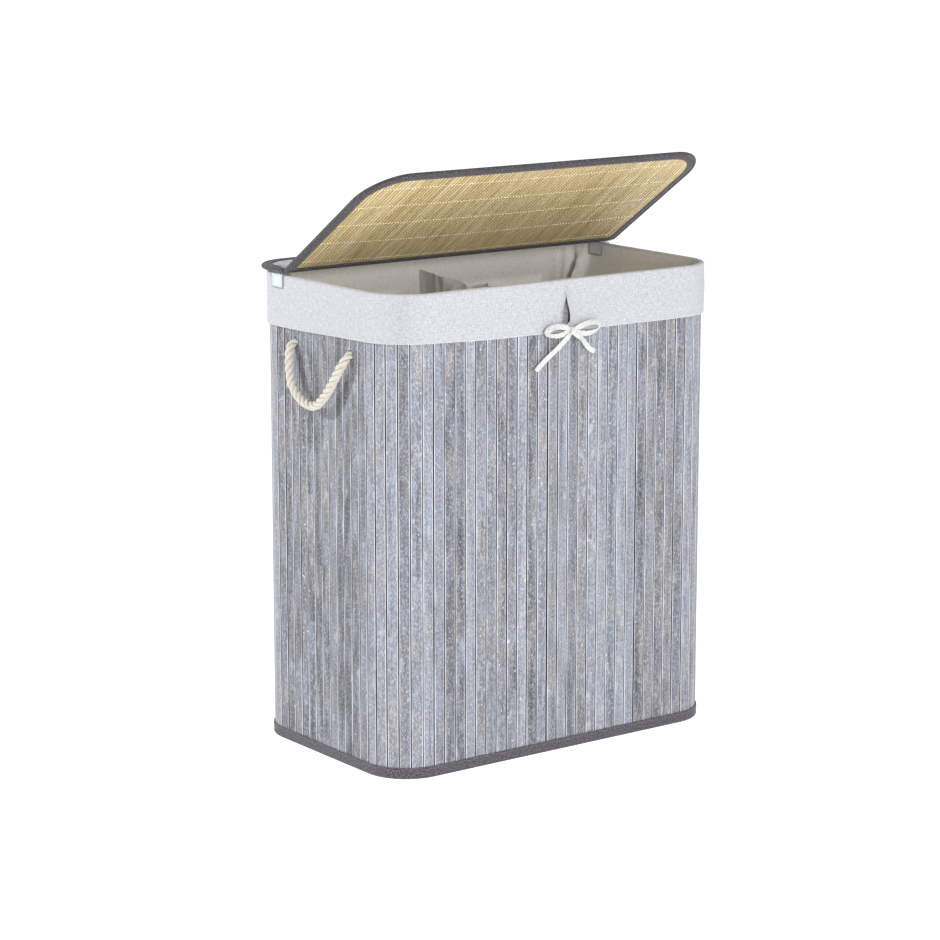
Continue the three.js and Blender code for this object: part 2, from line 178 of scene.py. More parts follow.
@dataclass(frozen=True)
class StainedBamboo:
    """Bamboo slats, planed, dipped in grey stain and left matt.

    The stain takes unevenly, so each slat has its own tone and drifts between warm and blue greys,
    with fine grain, long fibre streaks and pale patches with a rim where the skin kept the stain out.
    Each front edge is lightened in patches, partly as wear and partly as a painted highlight where
    the bevel would catch the light, and each side down in a gap is darkened as painted shade.
    """

    name: str = "grey_stained_bamboo"
    tones: tuple[tuple[float, str], ...] = (
        (0.0, "515057"),
        (0.12, "69686F"),
        (0.28, "787882"),
        (0.44, "868482"),
        (0.58, "808590"),
        (0.72, "8F8E97"),
        (0.86, "9296A0"),
        (1.0, "A0A3AA"),
    )
    fleck: str = "CDD2DB"
    bare: str = "E6E8EC"
    # The light colour of the front edges: wear, and a painted highlight on the bevels.
    wear_and_highlight: str = "DADDE2"
    blue: str = "828C9D"
    warm: str = "8F8982"
    violet: str = "888595"
    knuckle: str = "55535A"
    # Dark flecks in the stain, and the painted shade on each slat's sides down in the gaps.
    fleck_and_gap_shade: str = "232125"
    fibre_mm: tuple[float, float] = (1.1, 46.0)
    streak_mm: tuple[float, float] = (3.6, 170.0)
    cloud_mm: tuple[float, float] = (11.0, 60.0)
    grain_mm: tuple[float, float] = (1.5, 3.4)
    patch_mm: tuple[float, float] = (9.0, 21.0)
    speck_mm: tuple[float, float] = (2.0, 3.2)
    node_gap_mm: float = 290.0
    roughness: float = 0.58

    def build(self) -> bpy.types.Material:
        """Builds the material from each slat's own grain coordinates."""
        material, tree = blank(self.name)
        grain = put(tree, "Attribute", attribute_name="grain").outputs["Vector"]
        tone, edge, side = (
            put(tree, "Attribute", attribute_name=name).outputs["Fac"] for name in ("tone", "edge", "side")
        )
        fields = []
        for (across, along), detail, shift in (
            (self.fibre_mm, 3.0, 0.0),
            (self.streak_mm, 4.0, 0.0),
            (self.cloud_mm, 3.0, 0.0),
            (self.cloud_mm, 2.0, 31.0),
            (self.cloud_mm, 2.0, 57.0),
            (self.grain_mm, 2.0, 0.0),
            (self.patch_mm, 1.0, 0.0),
            (self.speck_mm, 0.0, 17.0),
        ):
            scale = (1 / (across * MM), 40.0, 1 / (along * MM))
            mapped = put(tree, "Mapping", {"Vector": grain, "Location": (shift,) * 3, "Scale": scale})
            noised = put(tree, "TexNoise", {"Vector": mapped.outputs[0], "Scale": 1.0, "Detail": detail})
            fields.append(noised.outputs["Fac"])
        fibre, streak, cloud, drift, haze, speckle, patch, speck = fields

        fibres = put(tree, "Math", {0: streak, 1: fibre}, operation="ADD")
        spread = put(tree, "MapRange", {0: fibres.outputs[0], 1: 0.7, 2: 1.3})
        shadow = put(
            tree,
            "ValToRGB",
            {"Fac": spread.outputs[0]},
            stops=((0.0, "8F8D94"), (0.35, "CAC9CE"), (0.65, "EFEFF1"), (1.0, "FFFFFF")),
        )
        colour = put(tree, "ValToRGB", {"Fac": tone}, stops=self.tones).outputs[0]
        colour = put(tree, "Mix", {0: 1.0, 6: colour, 7: shadow.outputs[0]}, **MULTIPLY).outputs[2]
        offset = put(tree, "Math", {0: patch, 1: 0.66}, operation="SUBTRACT")
        outline = put(tree, "Math", {0: offset.outputs[0]}, operation="ABSOLUTE")
        rise = put(tree, "SeparateXYZ", {0: grain})
        along = put(tree, "Math", {0: rise.outputs[1], 1: 7.3, 2: rise.outputs[2]}, operation="MULTIPLY_ADD")
        ring = put(tree, "Math", {0: along.outputs[0], 1: self.node_gap_mm * MM / 2}, operation="PINGPONG")
        for value, low, high, most, tint in (
            (cloud, 0.48, 0.7, 0.6, self.blue),
            (drift, 0.5, 0.72, 0.6, self.warm),
            (haze, 0.5, 0.72, 0.55, self.violet),
            (speckle, 0.5, 0.72, 0.36, self.fleck),
            (speckle, 0.5, 0.3, 0.34, self.fleck_and_gap_shade),
            (patch, 0.66, 0.71, 0.2, self.fleck),
            (outline.outputs[0], 0.012, 0.003, 0.16, self.fleck),
            (speck, 0.8, 0.86, 0.75, self.bare),
            (ring.outputs[0], 0.0018, 0.0004, 0.22, self.knuckle),
        ):
            share = put(tree, "MapRange", {0: value, 1: low, 2: high, 3: 0.0, 4: most})
            mixed = put(tree, "Mix", {0: share.outputs[0], 6: colour, 7: linear(tint)}, data_type="RGBA")
            colour = mixed.outputs[2]
        # The front edges are lightened in patches: wear, and a painted highlight where the bevel would catch the
        # light.
        wear_and_highlight_cloud = put(tree, "MapRange", {0: cloud, 1: 0.35, 2: 0.6, 3: 0.35, 4: 0.95})
        wear_and_highlight_share = put(tree, "Math", {0: edge, 1: wear_and_highlight_cloud.outputs[0]}, operation="MULTIPLY")
        wear_and_highlight = put(tree, "Mix", {0: wear_and_highlight_share.outputs[0], 6: colour, 7: linear(self.wear_and_highlight)}, data_type="RGBA")
        # Each slat's sides towards the gaps take the dark colour: painted shade between the slats.
        gap_shaded = put(tree, "Mix", {0: side, 6: wear_and_highlight.outputs[2], 7: linear(self.fleck_and_gap_shade)}, data_type="RGBA")

        raised = put(tree, "Math", {0: fibre, 1: 0.5, 2: streak}, operation="MULTIPLY_ADD")
        relief = put(tree, "Math", {0: speckle, 1: 0.45, 2: raised.outputs[0]}, operation="MULTIPLY_ADD")
        bump = put(tree, "Bump", {"Strength": 0.5, "Distance": 0.25 * MM, "Height": relief.outputs[0]})
        smooth, dull = self.roughness - 0.1, self.roughness + 0.12
        rough = put(tree, "MapRange", {0: fibre, 1: 0.3, 2: 0.7, 3: smooth, 4: dull})
        shade(
            tree,
            {
                "Base Color": gap_shaded.outputs[2],
                "Roughness": rough.outputs[0],
                "Normal": bump.outputs[0],
                "Coat Weight": 0.1,
                "Coat Roughness": 0.45,
            },
        )
        return material


@dataclass(frozen=True)
class NaturalBamboo:
    """Split bamboo sticks, unstained and sanded, held side by side with thread."""

    name: str = "natural_bamboo_sticks"
    tones: tuple[tuple[float, str], ...] = (
        (0.0, "D0BC8E"),
        (0.25, "DAC79B"),
        (0.5, "E0CFA6"),
        (0.75, "DBC89B"),
        (1.0, "E7D9B3"),
    )
    fibre_mm: tuple[float, float] = (1.4, 34.0)
    cloud_mm: tuple[float, float] = (60.0, 90.0)
    roughness: float = 0.5

    def build(self) -> bpy.types.Material:
        """Builds the material from each stick's own grain coordinates."""
        material, tree = blank(self.name)
        grain = put(tree, "Attribute", attribute_name="grain").outputs["Vector"]
        tone = put(tree, "Attribute", attribute_name="tone").outputs["Fac"]
        side = put(tree, "Attribute", attribute_name="side").outputs["Fac"]
        across, along = (1 / (mm * MM) for mm in self.fibre_mm)
        fine = put(tree, "Mapping", {"Vector": grain, "Scale": (across, 90.0, along)})
        fibre = put(tree, "TexNoise", {"Vector": fine.outputs[0], "Scale": 1.0, "Detail": 3.0})
        where = put(tree, "TexCoord").outputs["Object"]
        wide, deep = (1 / (mm * MM) for mm in self.cloud_mm)
        broad = put(tree, "Mapping", {"Vector": where, "Scale": (wide, deep, deep)})
        cloud = put(tree, "TexNoise", {"Vector": broad.outputs[0], "Scale": 1.0, "Detail": 2.0})
        spread = put(tree, "MapRange", {0: cloud.outputs["Fac"], 1: 0.3, 2: 0.7, 3: -0.12, 4: 0.12})
        wandered = put(tree, "Math", {0: tone, 1: spread.outputs[0]}, operation="ADD")
        base = put(tree, "ValToRGB", {"Fac": wandered.outputs[0]}, stops=self.tones)
        shades = ((0.25, "C4BAA3"), (0.5, "F0EBE0"), (0.7, "FFFFFF"))
        shadow = put(tree, "ValToRGB", {"Fac": fibre.outputs["Fac"]}, stops=shades)
        streaked = put(tree, "Mix", {0: 1.0, 6: base.outputs[0], 7: shadow.outputs[0]}, **MULTIPLY)
        # Each stick's sides towards the gaps take a dark brown: painted shade between the sticks.
        gap_shaded = put(tree, "Mix", {0: side, 6: streaked.outputs[2], 7: linear("4A3B1E")}, data_type="RGBA")
        bump = put(tree, "Bump", {"Strength": 0.4, "Distance": 0.12 * MM, "Height": fibre.outputs["Fac"]})
        shade(
            tree,
            {
                "Base Color": gap_shaded.outputs[2],
                "Roughness": self.roughness,
                "Normal": bump.outputs[0],
                "Coat Weight": 0.1,
                "Coat Roughness": 0.35,
            },
        )
        return material


@dataclass(frozen=True)
class WovenCloth:
    """Plain woven cloth, with thicker slubs in its warp and weft, on the piece's own weave map.

    Real threads are about 0.4 mm apart, too fine to show, so they are drawn at thread_mm. The nap
    gives a soft sheen, and a melange yarn shows as flecks of two other tones. A cloth given an
    inside colour takes it on the faces marked inside: a painted light, lighter and warmer than the
    outside, standing in for the light within the bag.
    """

    name: str
    colour: str
    dark: str
    light: str
    thread_mm: float = 1.3
    slub_mm: float = 16.0
    contrast: float = 0.5
    relief_mm: float = 0.12
    # The lighter, warmer colour of the inner faces: painted light.
    inside: str | None = None
    sheen: float = 0.15
    roughness: float = 0.9

    def build(self) -> bpy.types.Material:
        """Builds the cloth."""
        material, tree = blank(self.name)
        weave = put(tree, "UVMap", uv_map="Weave").outputs[0]
        fine, long = 1 / (self.thread_mm * MM), 1 / (self.slub_mm * MM)
        fields = []
        for scale, start, size in (
            ((fine, long, 1.0), (0.0, 0.0, 0.0), 1.0),
            ((long, fine, 1.0), (7.1, 3.3, 0.0), 1.0),
            ((fine, fine, 1.0), (0.0, 0.0, 0.0), 0.8),
        ):
            mapped = put(tree, "Mapping", {"Vector": weave, "Scale": scale, "Location": start})
            noised = put(tree, "TexNoise", {"Vector": mapped.outputs[0], "Scale": size, "Detail": 2.0})
            fields.append(noised.outputs["Fac"])
        warp, weft, knots = fields
        threads = put(tree, "Math", {0: warp, 1: weft}, operation="ADD")
        cloth = put(tree, "Math", {0: threads.outputs[0], 1: knots}, operation="ADD")
        low = put(tree, "MapRange", {0: cloth.outputs[0], 1: 1.15, 2: 1.5, 3: self.contrast, 4: 0.0})
        high = put(tree, "MapRange", {0: cloth.outputs[0], 1: 1.5, 2: 1.85, 3: 0.0, 4: self.contrast})
        tone, dark, light = (linear(tint) for tint in (self.colour, self.dark, self.light))
        darker = put(tree, "Mix", {0: low.outputs[0], 6: tone, 7: dark}, data_type="RGBA")
        colour = put(tree, "Mix", {0: high.outputs[0], 6: darker.outputs[2], 7: light}, data_type="RGBA")
        # Faces marked inside take the lighter, warmer colour: painted light within the bag.
        if self.inside:
            inner = put(tree, "Attribute", attribute_name="inside").outputs["Fac"]
            plain = put(tree, "MapRange", {0: cloth.outputs[0], 1: 1.0, 2: 1.9, 3: 0.74, 4: 1.0})
            painted_lit_inside = put(tree, "Mix", {0: 1.0, 6: linear(self.inside), 7: plain.outputs[0]}, **MULTIPLY)
            colour = put(tree, "Mix", {0: inner, 6: colour.outputs[2], 7: painted_lit_inside.outputs[2]}, data_type="RGBA")
        relief = self.relief_mm * MM
        bump = put(tree, "Bump", {"Strength": 0.6, "Distance": relief, "Height": cloth.outputs[0]})
        shade(
            tree,
            {
                "Base Color": colour.outputs[2],
                "Roughness": self.roughness,
                "Normal": bump.outputs[0],
                "Sheen Weight": self.sheen,
                "Sheen Roughness": 0.5,
            },
        )
        return material


@dataclass(frozen=True)
class TwistedYarn:
    """Soft cotton yarn laid up as strands, with its fibres running round with the twist and painted shade deep
    between the strands.
    """

    name: str
    colour: str
    dark: str
    fibre_mm: tuple[float, float] = (0.8, 7.0)
    relief_mm: float = 0.35

    def build(self) -> bpy.types.Material:
        """Builds the yarn on the strand's own map, slanted by its twist."""
        material, tree = blank(self.name)
        weave = put(tree, "UVMap", uv_map="Weave").outputs[0]
        across, along = (1 / (mm * MM) for mm in self.fibre_mm)
        slant = (0, 0, math.radians(24))
        at = put(tree, "Mapping", {"Vector": weave, "Rotation": slant, "Scale": (across, along, 1.0)})
        fibre = put(tree, "TexNoise", {"Vector": at.outputs[0], "Scale": 1.0, "Detail": 3.0}).outputs["Fac"]
        low = put(tree, "MapRange", {0: fibre, 1: 0.3, 2: 0.55, 3: 0.55, 4: 0.0})
        # Points deep between the strands take the dark colour: painted shade in the crevices.
        deep = put(tree, "Attribute", attribute_name="deep").outputs["Fac"]
        most = put(tree, "Math", {0: low.outputs[0], 1: deep}, operation="MAXIMUM")
        tone, dark = linear(self.colour), linear(self.dark)
        colour = put(tree, "Mix", {0: most.outputs[0], 6: tone, 7: dark}, data_type="RGBA")
        bump = put(tree, "Bump", {"Strength": 0.7, "Distance": self.relief_mm * MM, "Height": fibre})
        shade(
            tree,
            {
                "Base Color": colour.outputs[2],
                "Roughness": 0.92,
                "Normal": bump.outputs[0],
                "Sheen Weight": 0.3,
                "Sheen Roughness": 0.4,
            },
        )
        return material


@dataclass(frozen=True)
class ClearPlastic:
    """Clear PVC sheet, hot bent: the cloth shows through its faces, and its cut edges carry a painted shade,
    grey and more opaque.
    """

    name: str = "clear_bent_plastic"
    colour: str = "F0F8FC"
    # The grey of the cut edges: painted shade.
    cut: str = "7F888C"
    haze_mm: float = 6.0

    def build(self) -> bpy.types.Material:
        """Builds the plastic."""
        material, tree = blank(self.name)
        rim = put(tree, "Attribute", attribute_name="rim").outputs["Fac"]
        where = put(tree, "TexCoord").outputs["Object"]
        haze = put(tree, "TexNoise", {"Vector": where, "Scale": 1 / (self.haze_mm * MM), "Detail": 2.0})
        rough = put(tree, "MapRange", {0: haze.outputs["Fac"], 1: 0.3, 2: 0.7, 3: 0.1, 4: 0.22})
        # Toward the marked edges the sheet turns grey and more opaque: painted shade for the dark outline light
        # gives a clear edge.
        colour = put(tree, "Mix", {0: rim, 6: linear(self.colour), 7: linear(self.cut)}, data_type="RGBA")
        alpha_with_painted_edges = put(tree, "MapRange", {0: rim, 1: 0.0, 2: 1.0, 3: 0.3, 4: 0.8})
        shade(
            tree,
            {
                "Base Color": colour.outputs[2],
                "Roughness": rough.outputs[0],
                "Alpha": alpha_with_painted_edges.outputs[0],
                "IOR": 1.5,
            },
        )
        return material


@dataclass(frozen=True)
class DrawnSteel:
    """Drawn steel wire: grey, with fine lines along it and dull patches."""

    name: str = "drawn_steel_wire"

    def build(self) -> bpy.types.Material:
        """Builds the steel."""
        material, tree = blank(self.name)
        where = put(tree, "TexCoord").outputs["Object"]
        spots = put(tree, "TexNoise", {"Vector": where, "Scale": 1 / (7 * MM), "Detail": 3.0})
        rough = put(tree, "MapRange", {0: spots.outputs["Fac"], 1: 0.3, 2: 0.7, 3: 0.28, 4: 0.5})
        tone = put(tree, "ValToRGB", {"Fac": spots.outputs["Fac"]}, stops=((0.3, "8B8B8D"), (0.7, "B4B4B6")))
        bump = put(tree, "Bump", {"Strength": 0.2, "Distance": 0.05 * MM, "Height": spots.outputs["Fac"]})
        shade(
            tree,
            {
                "Base Color": tone.outputs[0],
                "Metallic": 1.0,
                "Roughness": rough.outputs[0],
                "Normal": bump.outputs[0],
            },
        )
        return material


@dataclass(frozen=True)
class Fibreboard:
    """Pressed fibreboard: brown, with short fibres lying every way and a dull face."""

    name: str = "pressed_fibreboard"

    def build(self) -> bpy.types.Material:
        """Builds the board."""
        material, tree = blank(self.name)
        where = put(tree, "TexCoord").outputs["Object"]
        specks = put(tree, "TexNoise", {"Vector": where, "Scale": 1 / (2.5 * MM), "Detail": 4.0})
        browns = ((0.3, "7E6444"), (0.5, "9A7D58"), (0.7, "B59A74"))
        tone = put(tree, "ValToRGB", {"Fac": specks.outputs["Fac"]}, stops=browns)
        bump = put(tree, "Bump", {"Strength": 0.4, "Distance": 0.15 * MM, "Height": specks.outputs["Fac"]})
        shade(tree, {"Base Color": tone.outputs[0], "Roughness": 0.85, "Normal": bump.outputs[0]})
        return material


@dataclass
class Finishes:
    """Every finish of the hamper, built once."""

    grey: bpy.types.Material = field(init=False)
    natural: bpy.types.Material = field(init=False)
    binding: bpy.types.Material = field(init=False)
    binding_painted_darker: bpy.types.Material = field(init=False)
    backing: bpy.types.Material = field(init=False)
    cotton: bpy.types.Material = field(init=False)
    tape: bpy.types.Material = field(init=False)
    rope: bpy.types.Material = field(init=False)
    thread: bpy.types.Material = field(init=False)
    dark_thread: bpy.types.Material = field(init=False)
    plastic: bpy.types.Material = field(init=False)
    steel: bpy.types.Material = field(init=False)
    board: bpy.types.Material = field(init=False)

    def __post_init__(self) -> None:
        """Builds the materials."""
        self.grey = StainedBamboo().build()
        self.natural = NaturalBamboo().build()
        coarse = {"thread_mm": 1.1, "slub_mm": 2.6, "contrast": 0.9}
        self.binding = WovenCloth("woven_binding_tape", "3F3C42", "201E22", "807D85", **coarse).build()
        # The lid's binding and the hinge are the same tape as the wall's binding, in a darker copy: painted
        # shade.
        self.binding_painted_darker = WovenCloth("woven_binding_tape_painted_darker", "302E33", "161518", "6C6970", **coarse).build()
        # The backing cloth is dark grey, and made darker still as painted shade showing through the gaps between
        # the slats.
        self.backing = WovenCloth("backing_gauze", "3B393F", "2A282D", "4E4C53", slub_mm=6.0).build()
        # The cotton's inside colour is far lighter than its outside: painted light within the bag.
        self.cotton = WovenCloth(
            "washed_cotton",
            "AAABB0",
            "8F9197",
            "C6C7CB",
            thread_mm=1.5,
            slub_mm=7.0,
            contrast=0.6,
            inside="EDEAE3",
            relief_mm=0.16,
        ).build()
        self.tape = WovenCloth("cotton_tape", "C2C2BF", "98999B", "DCDCDA", slub_mm=4.0, contrast=0.7).build()
        self.rope = TwistedYarn("laid_cotton_rope", "C6C1B6", "968F81").build()
        thin = {"fibre_mm": (0.3, 1.5), "relief_mm": 0.05}
        self.thread = TwistedYarn("cream_thread", "EDE5C8", "C2B68C", **thin).build()
        self.dark_thread = TwistedYarn("grey_thread", "77747B", "4A474D", **thin).build()
        self.plastic = ClearPlastic().build()
        self.steel = DrawnSteel().build()
        self.board = Fibreboard().build()


# ---- modelling ----


def select_only(*objects: bpy.types.Object) -> None:
    """Selects these objects and no others, the first being active."""
    bpy.ops.object.select_all(action="DESELECT")
    for item in objects:
        item.select_set(True)
    bpy.context.view_layer.objects.active = objects[0]


def take(name: str) -> bpy.types.Object:
    """Names the object just added, with its place and turn applied to its mesh."""
    made = bpy.context.object
    made.name = name
    made.data.name = name
    bpy.ops.object.transform_apply(location=True, rotation=True, scale=True)
    return made


def edited(
    item: bpy.types.Object,
    kind: str,
    wanted: Callable[[bmesh.types.BMEdge | bmesh.types.BMFace], bool] | None,
    step: Callable[..., object],
    **settings: object,
) -> None:
    """Runs one edit-mode operator on the edges or faces that a test picks.

    Args:
        item: the mesh object.
        kind: EDGE or FACE.
        wanted: says whether one is picked, or None where all are.
        step: the operator.
        settings: its values.
    """
    select_only(item)
    bpy.ops.object.mode_set(mode="EDIT")
    bpy.ops.mesh.select_mode(type=kind)
    bpy.ops.mesh.select_all(action="DESELECT" if wanted else "SELECT")
    if wanted:
        shape = bmesh.from_edit_mesh(item.data)
        for part in shape.edges if kind == "EDGE" else shape.faces:
            part.select_set(wanted(part))
        bmesh.update_edit_mesh(item.data)
    step(**settings)
    bpy.ops.object.mode_set(mode="OBJECT")


def apply_modifier(item: bpy.types.Object, kind: str, **settings: object) -> None:
    """Adds a modifier and applies it.

    Args:
        item: the object.
        kind: the modifier's type.
        settings: its values.
    """
    select_only(item)
    added = item.modifiers.new(kind.lower(), kind)
    for key, value in settings.items():
        setattr(added, key, value)
    bpy.ops.object.modifier_apply(modifier=added.name)


def joined(name: str, parts: Sequence[bpy.types.Object]) -> bpy.types.Object:
    """Joins parts to one named object."""
    select_only(*parts)
    if len(parts) > 1:
        bpy.ops.object.join()
    whole = bpy.context.object
    whole.name = name
    whole.data.name = name
    return whole


def copied(template: bpy.types.Object, place: Matrix) -> bpy.types.Object:
    """A copy of a template with its own mesh, moved to a place."""
    made = template.copy()
    made.data = template.data.copy()
    made.data.transform(place)
    bpy.context.scene.collection.objects.link(made)
    return made


def smooth(item: bpy.types.Object, degrees: float = 35.0) -> None:
    """Shades an object smooth, with edges sharper than an angle kept."""
    select_only(item)
    bpy.ops.object.shade_smooth_by_angle(angle=math.radians(degrees))


def dress(
    item: bpy.types.Object, material: bpy.types.Material, body: Body | None
) -> bpy.types.Object:
    """Gives a piece its finish and body.

    Args:
        item: the piece.
        material: its finish.
        body: the body it rides on, or None for a piece left on no body.

    Returns:
        The piece.
    """
    item.data.materials.clear()
    item.data.materials.append(material)
    if body:
        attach(item, body.value)
    LOG.info("%s: %d faces", item.name, len(item.data.polygons))
    return item


def point_values(item: bpy.types.Object, name: str, values: Sequence[float]) -> None:
    """Stores one number per vertex."""
    layer = item.data.attributes.new(name, "FLOAT", "POINT")
    layer.data.foreach_set("value", values)


def ease(value: float, low: float, high: float) -> float:
    """0 up to low, 1 from high, and smooth between."""
    t = min(1.0, max(0.0, (value - low) / (high - low)))
    return t * t * (3 - 2 * t)


@dataclass(frozen=True)
class Station:
    """A point of an outline, with the way out and how far along it lies."""

    x: float
    y: float
    nx: float
    ny: float
    along: float

    def at(self, dx: float, z: float, dy: float | None = None) -> Vector:
        """The point this far in from the outline, at a height."""
        dy = dx if dy is None else dy
        return Vector((self.x - self.nx * dx, self.y - self.ny * dy, z))


@dataclass(frozen=True)
class RoundedBox:
    """A rectangle with round corners, walked from the middle of its front towards +X."""

    half_x: float
    half_y: float
    radius: float

    def length(self) -> float:
        """All the way round."""
        return 4 * (self.half_x + self.half_y - 2 * self.radius) + 2 * math.pi * self.radius

    def station(self, along: float) -> Station:
        """The station at a distance along."""
        along %= self.length()
        cx, cy, r = self.half_x - self.radius, self.half_y - self.radius, self.radius
        quarter = math.pi * r / 2
        runs = (
            (cx, 0.0, -self.half_y, 1, 0, 0, -1),
            (quarter, cx, -cy, 0, 0, 0, -90),
            (2 * cy, self.half_x, -cy, 0, 1, 1, 0),
            (quarter, cx, cy, 0, 0, 0, 0),
            (2 * cx, cx, self.half_y, -1, 0, 0, 1),
            (quarter, -cx, cy, 0, 0, 0, 90),
            (2 * cy, -self.half_x, cy, 0, -1, -1, 0),
            (quarter, -cx, -cy, 0, 0, 0, 180),
            (cx, -cx, -self.half_y, 1, 0, 0, -1),
        )
        left = along
        for reach, x, y, tx, ty, nx, ny in runs:
            if left <= reach or (reach, x) == (runs[-1][0], runs[-1][1]):
                if tx or ty:
                    return Station(x + tx * left, y + ty * left, nx, ny, along)
                a = math.radians(ny) + left / r
                return Station(x + r * math.cos(a), y + r * math.sin(a), math.cos(a), math.sin(a), along)
            left -= reach
        raise ValueError(along)

    def stations(self, step: float) -> list[Station]:
        """Evenly spaced stations about a step apart."""
        count = round(self.length() / step)
        return [self.station(self.length() * i / count) for i in range(count)]


# A sheet made of rings reaches this share of the way in, and its weave map doesn't wrap.
MIDDLE_REACH = 0.985
FLAT_RING = 0.0001
# The outer face of the slats, all round.
WALL = RoundedBox(254.5 * MM, 154.5 * MM, 58 * MM)


def walked(points: Sequence[Pair]) -> list[float]:
    """How far along a section each of its points lies."""
    gone = [0.0]
    for a, b in zip(points, points[1:]):
        gone.append(gone[-1] + math.dist(a, b))
    return gone


def cloth_grid(
    name: str,
    rows: Sequence[Sequence[tuple[Vector, Pair]]],
    ring: float = 0.0,
    skip: Callable[[int, int], bool] | None = None,
) -> bpy.types.Object:
    """Builds a sheet from rows of points.

    Args:
        name: its name.
        rows: one list for each station, of its points and their places on the weave map, in metres.
        ring: the length round it where the last row joins the first, or 0 for an open sheet.
        skip: says which faces are left out, by row and column.

    Returns:
        The sheet, a single layer.
    """
    count, wide = len(rows), len(rows[0])
    faces, weave = [], []
    for i in range(count if ring else count - 1):
        following = (i + 1) % count
        wrap = ring if following == 0 else 0.0
        for j in range(wide - 1):
            if skip and skip(i, j):
                continue
            faces.append((i * wide + j, following * wide + j, following * wide + j + 1, i * wide + j + 1))
            for a, b, turn in ((i, j, 0.0), (following, j, wrap), (following, j + 1, wrap), (i, j + 1, 0.0)):
                u, v = rows[a][b][1]
                weave += (u + turn, v)
    mesh = bpy.data.meshes.new(name)
    mesh.from_pydata([point for row in rows for point, _ in row], [], faces)
    layer = mesh.uv_layers.new(name="Weave")
    layer.data.foreach_set("uv", weave)
    made = bpy.data.objects.new(name, mesh)
    bpy.context.scene.collection.objects.link(made)
    return made


def resampled(points: Sequence[Vector], step: float) -> list[Vector]:
    """A smooth curve through points, with even steps.

    Args:
        points: what it passes through.
        step: the distance between the returned points, about.

    Returns:
        The points along it.
    """
    ends = [points[0] * 2 - points[1], *points, points[-1] * 2 - points[-2]]
    dense = []
    for p0, p1, p2, p3 in zip(ends, ends[1:], ends[2:], ends[3:]):
        for k in range(12):
            t = k / 12
            dense.append(
                0.5
                * (
                    2 * p1
                    + (p2 - p0) * t
                    + (2 * p0 - 5 * p1 + 4 * p2 - p3) * t * t
                    + (3 * p1 - p0 - 3 * p2 + p3) * t**3
                )
            )
    dense.append(points[-1].copy())
    gone = [0.0]
    for a, b in zip(dense, dense[1:]):
        gone.append(gone[-1] + (b - a).length)
    count = max(2, round(gone[-1] / step))
    even, k = [], 0
    for i in range(count + 1):
        want = gone[-1] * i / count
        while k < len(gone) - 2 and gone[k + 1] < want:
            k += 1
        span = gone[k + 1] - gone[k] or 1.0
        even.append(dense[k].lerp(dense[k + 1], (want - gone[k]) / span))
    return even


def frames(path: Sequence[Vector], first: Vector) -> list[tuple[Vector, Vector, Vector]]:
    """Carries a cross direction along a path without twist.

    Args:
        path: the points.
        first: the cross direction wanted at the start.

    Returns:
        The tangent, cross and third direction at each point.
    """
    found, cross = [], first
    for i in range(len(path)):
        ahead = (path[min(i + 1, len(path) - 1)] - path[max(i - 1, 0)]).normalized()
        cross = (cross - ahead * cross.dot(ahead)).normalized()
        found.append((ahead, cross, ahead.cross(cross)))
    return found


def swept(
    name: str,
    path: Sequence[Vector],
    section: Callable[[int, float], Sequence[tuple[float, float]]],
    first: Vector,
) -> bpy.types.Object:
    """Sweeps a closed section along a path and closes its ends.

    Args:
        name: the piece's name.
        path: the centre line.
        section: the section's points across the line, for a point's number and its place from 0 to 1.
        first: the section's first direction at the start.

    Returns:
        The tube, with its weave map round and along it.
    """
    rows, gone = [], 0.0
    for i, (_, cross, third) in enumerate(frames(path, first)):
        if i:
            gone += (path[i] - path[i - 1]).length
        row = [path[i] + cross * a + third * b for a, b in section(i, i / (len(path) - 1))]
        row.append(row[0])
        around = [0.0]
        for a, b in zip(row, row[1:]):
            around.append(around[-1] + (b - a).length)
        rows.append([(point, (u, gone)) for point, u in zip(row, around)])
    tube = cloth_grid(name, rows)
    select_only(tube)
    bpy.ops.object.mode_set(mode="EDIT")
    bpy.ops.mesh.select_all(action="SELECT")
    bpy.ops.mesh.remove_doubles(threshold=0.001 * MM)
    bpy.ops.mesh.select_all(action="DESELECT")
    bpy.ops.mesh.select_mode(type="EDGE")
    bpy.ops.mesh.select_non_manifold()
    bpy.ops.mesh.edge_face_add()
    bpy.ops.mesh.select_all(action="SELECT")
    bpy.ops.mesh.normals_make_consistent(inside=False)
    bpy.ops.object.mode_set(mode="OBJECT")
    return tube


@dataclass
class Stitches:
    """A run of short sewn stitches of one thread, each a small capsule."""

    length: float = 2.8 * MM
    radius: float = 0.32 * MM

    def run(self, name: str, path: Sequence[Vector], up: Callable[[Vector], Vector]) -> bpy.types.Object:
        """Lays stitches along a path.

        Args:
            name: the piece's name.
            path: the line, on the cloth's face.
            up: the way out of the cloth at a point.

        Returns:
            All the stitches as one piece.
        """
        bpy.ops.mesh.primitive_uv_sphere_add(segments=6, ring_count=4, radius=1.0)
        template = take("stitch")
        template.data.uv_layers[0].name = "Weave"
        template.data.transform(Matrix.Diagonal((self.length / 2, self.radius * 1.3, self.radius, 1.0)))
        parts = []
        for here, ahead in zip(path, path[1:]):
            forward = (ahead - here).normalized()
            rise = up(here).normalized()
            across = rise.cross(forward)
            turn = Matrix((forward, across, rise)).transposed().to_4x4()
            parts.append(copied(template, Matrix.Translation((here + ahead) / 2) @ turn))
        bpy.data.objects.remove(template)
        made = joined(name, parts)
        smooth(made, 80)
        return made


# ---- the slats ----


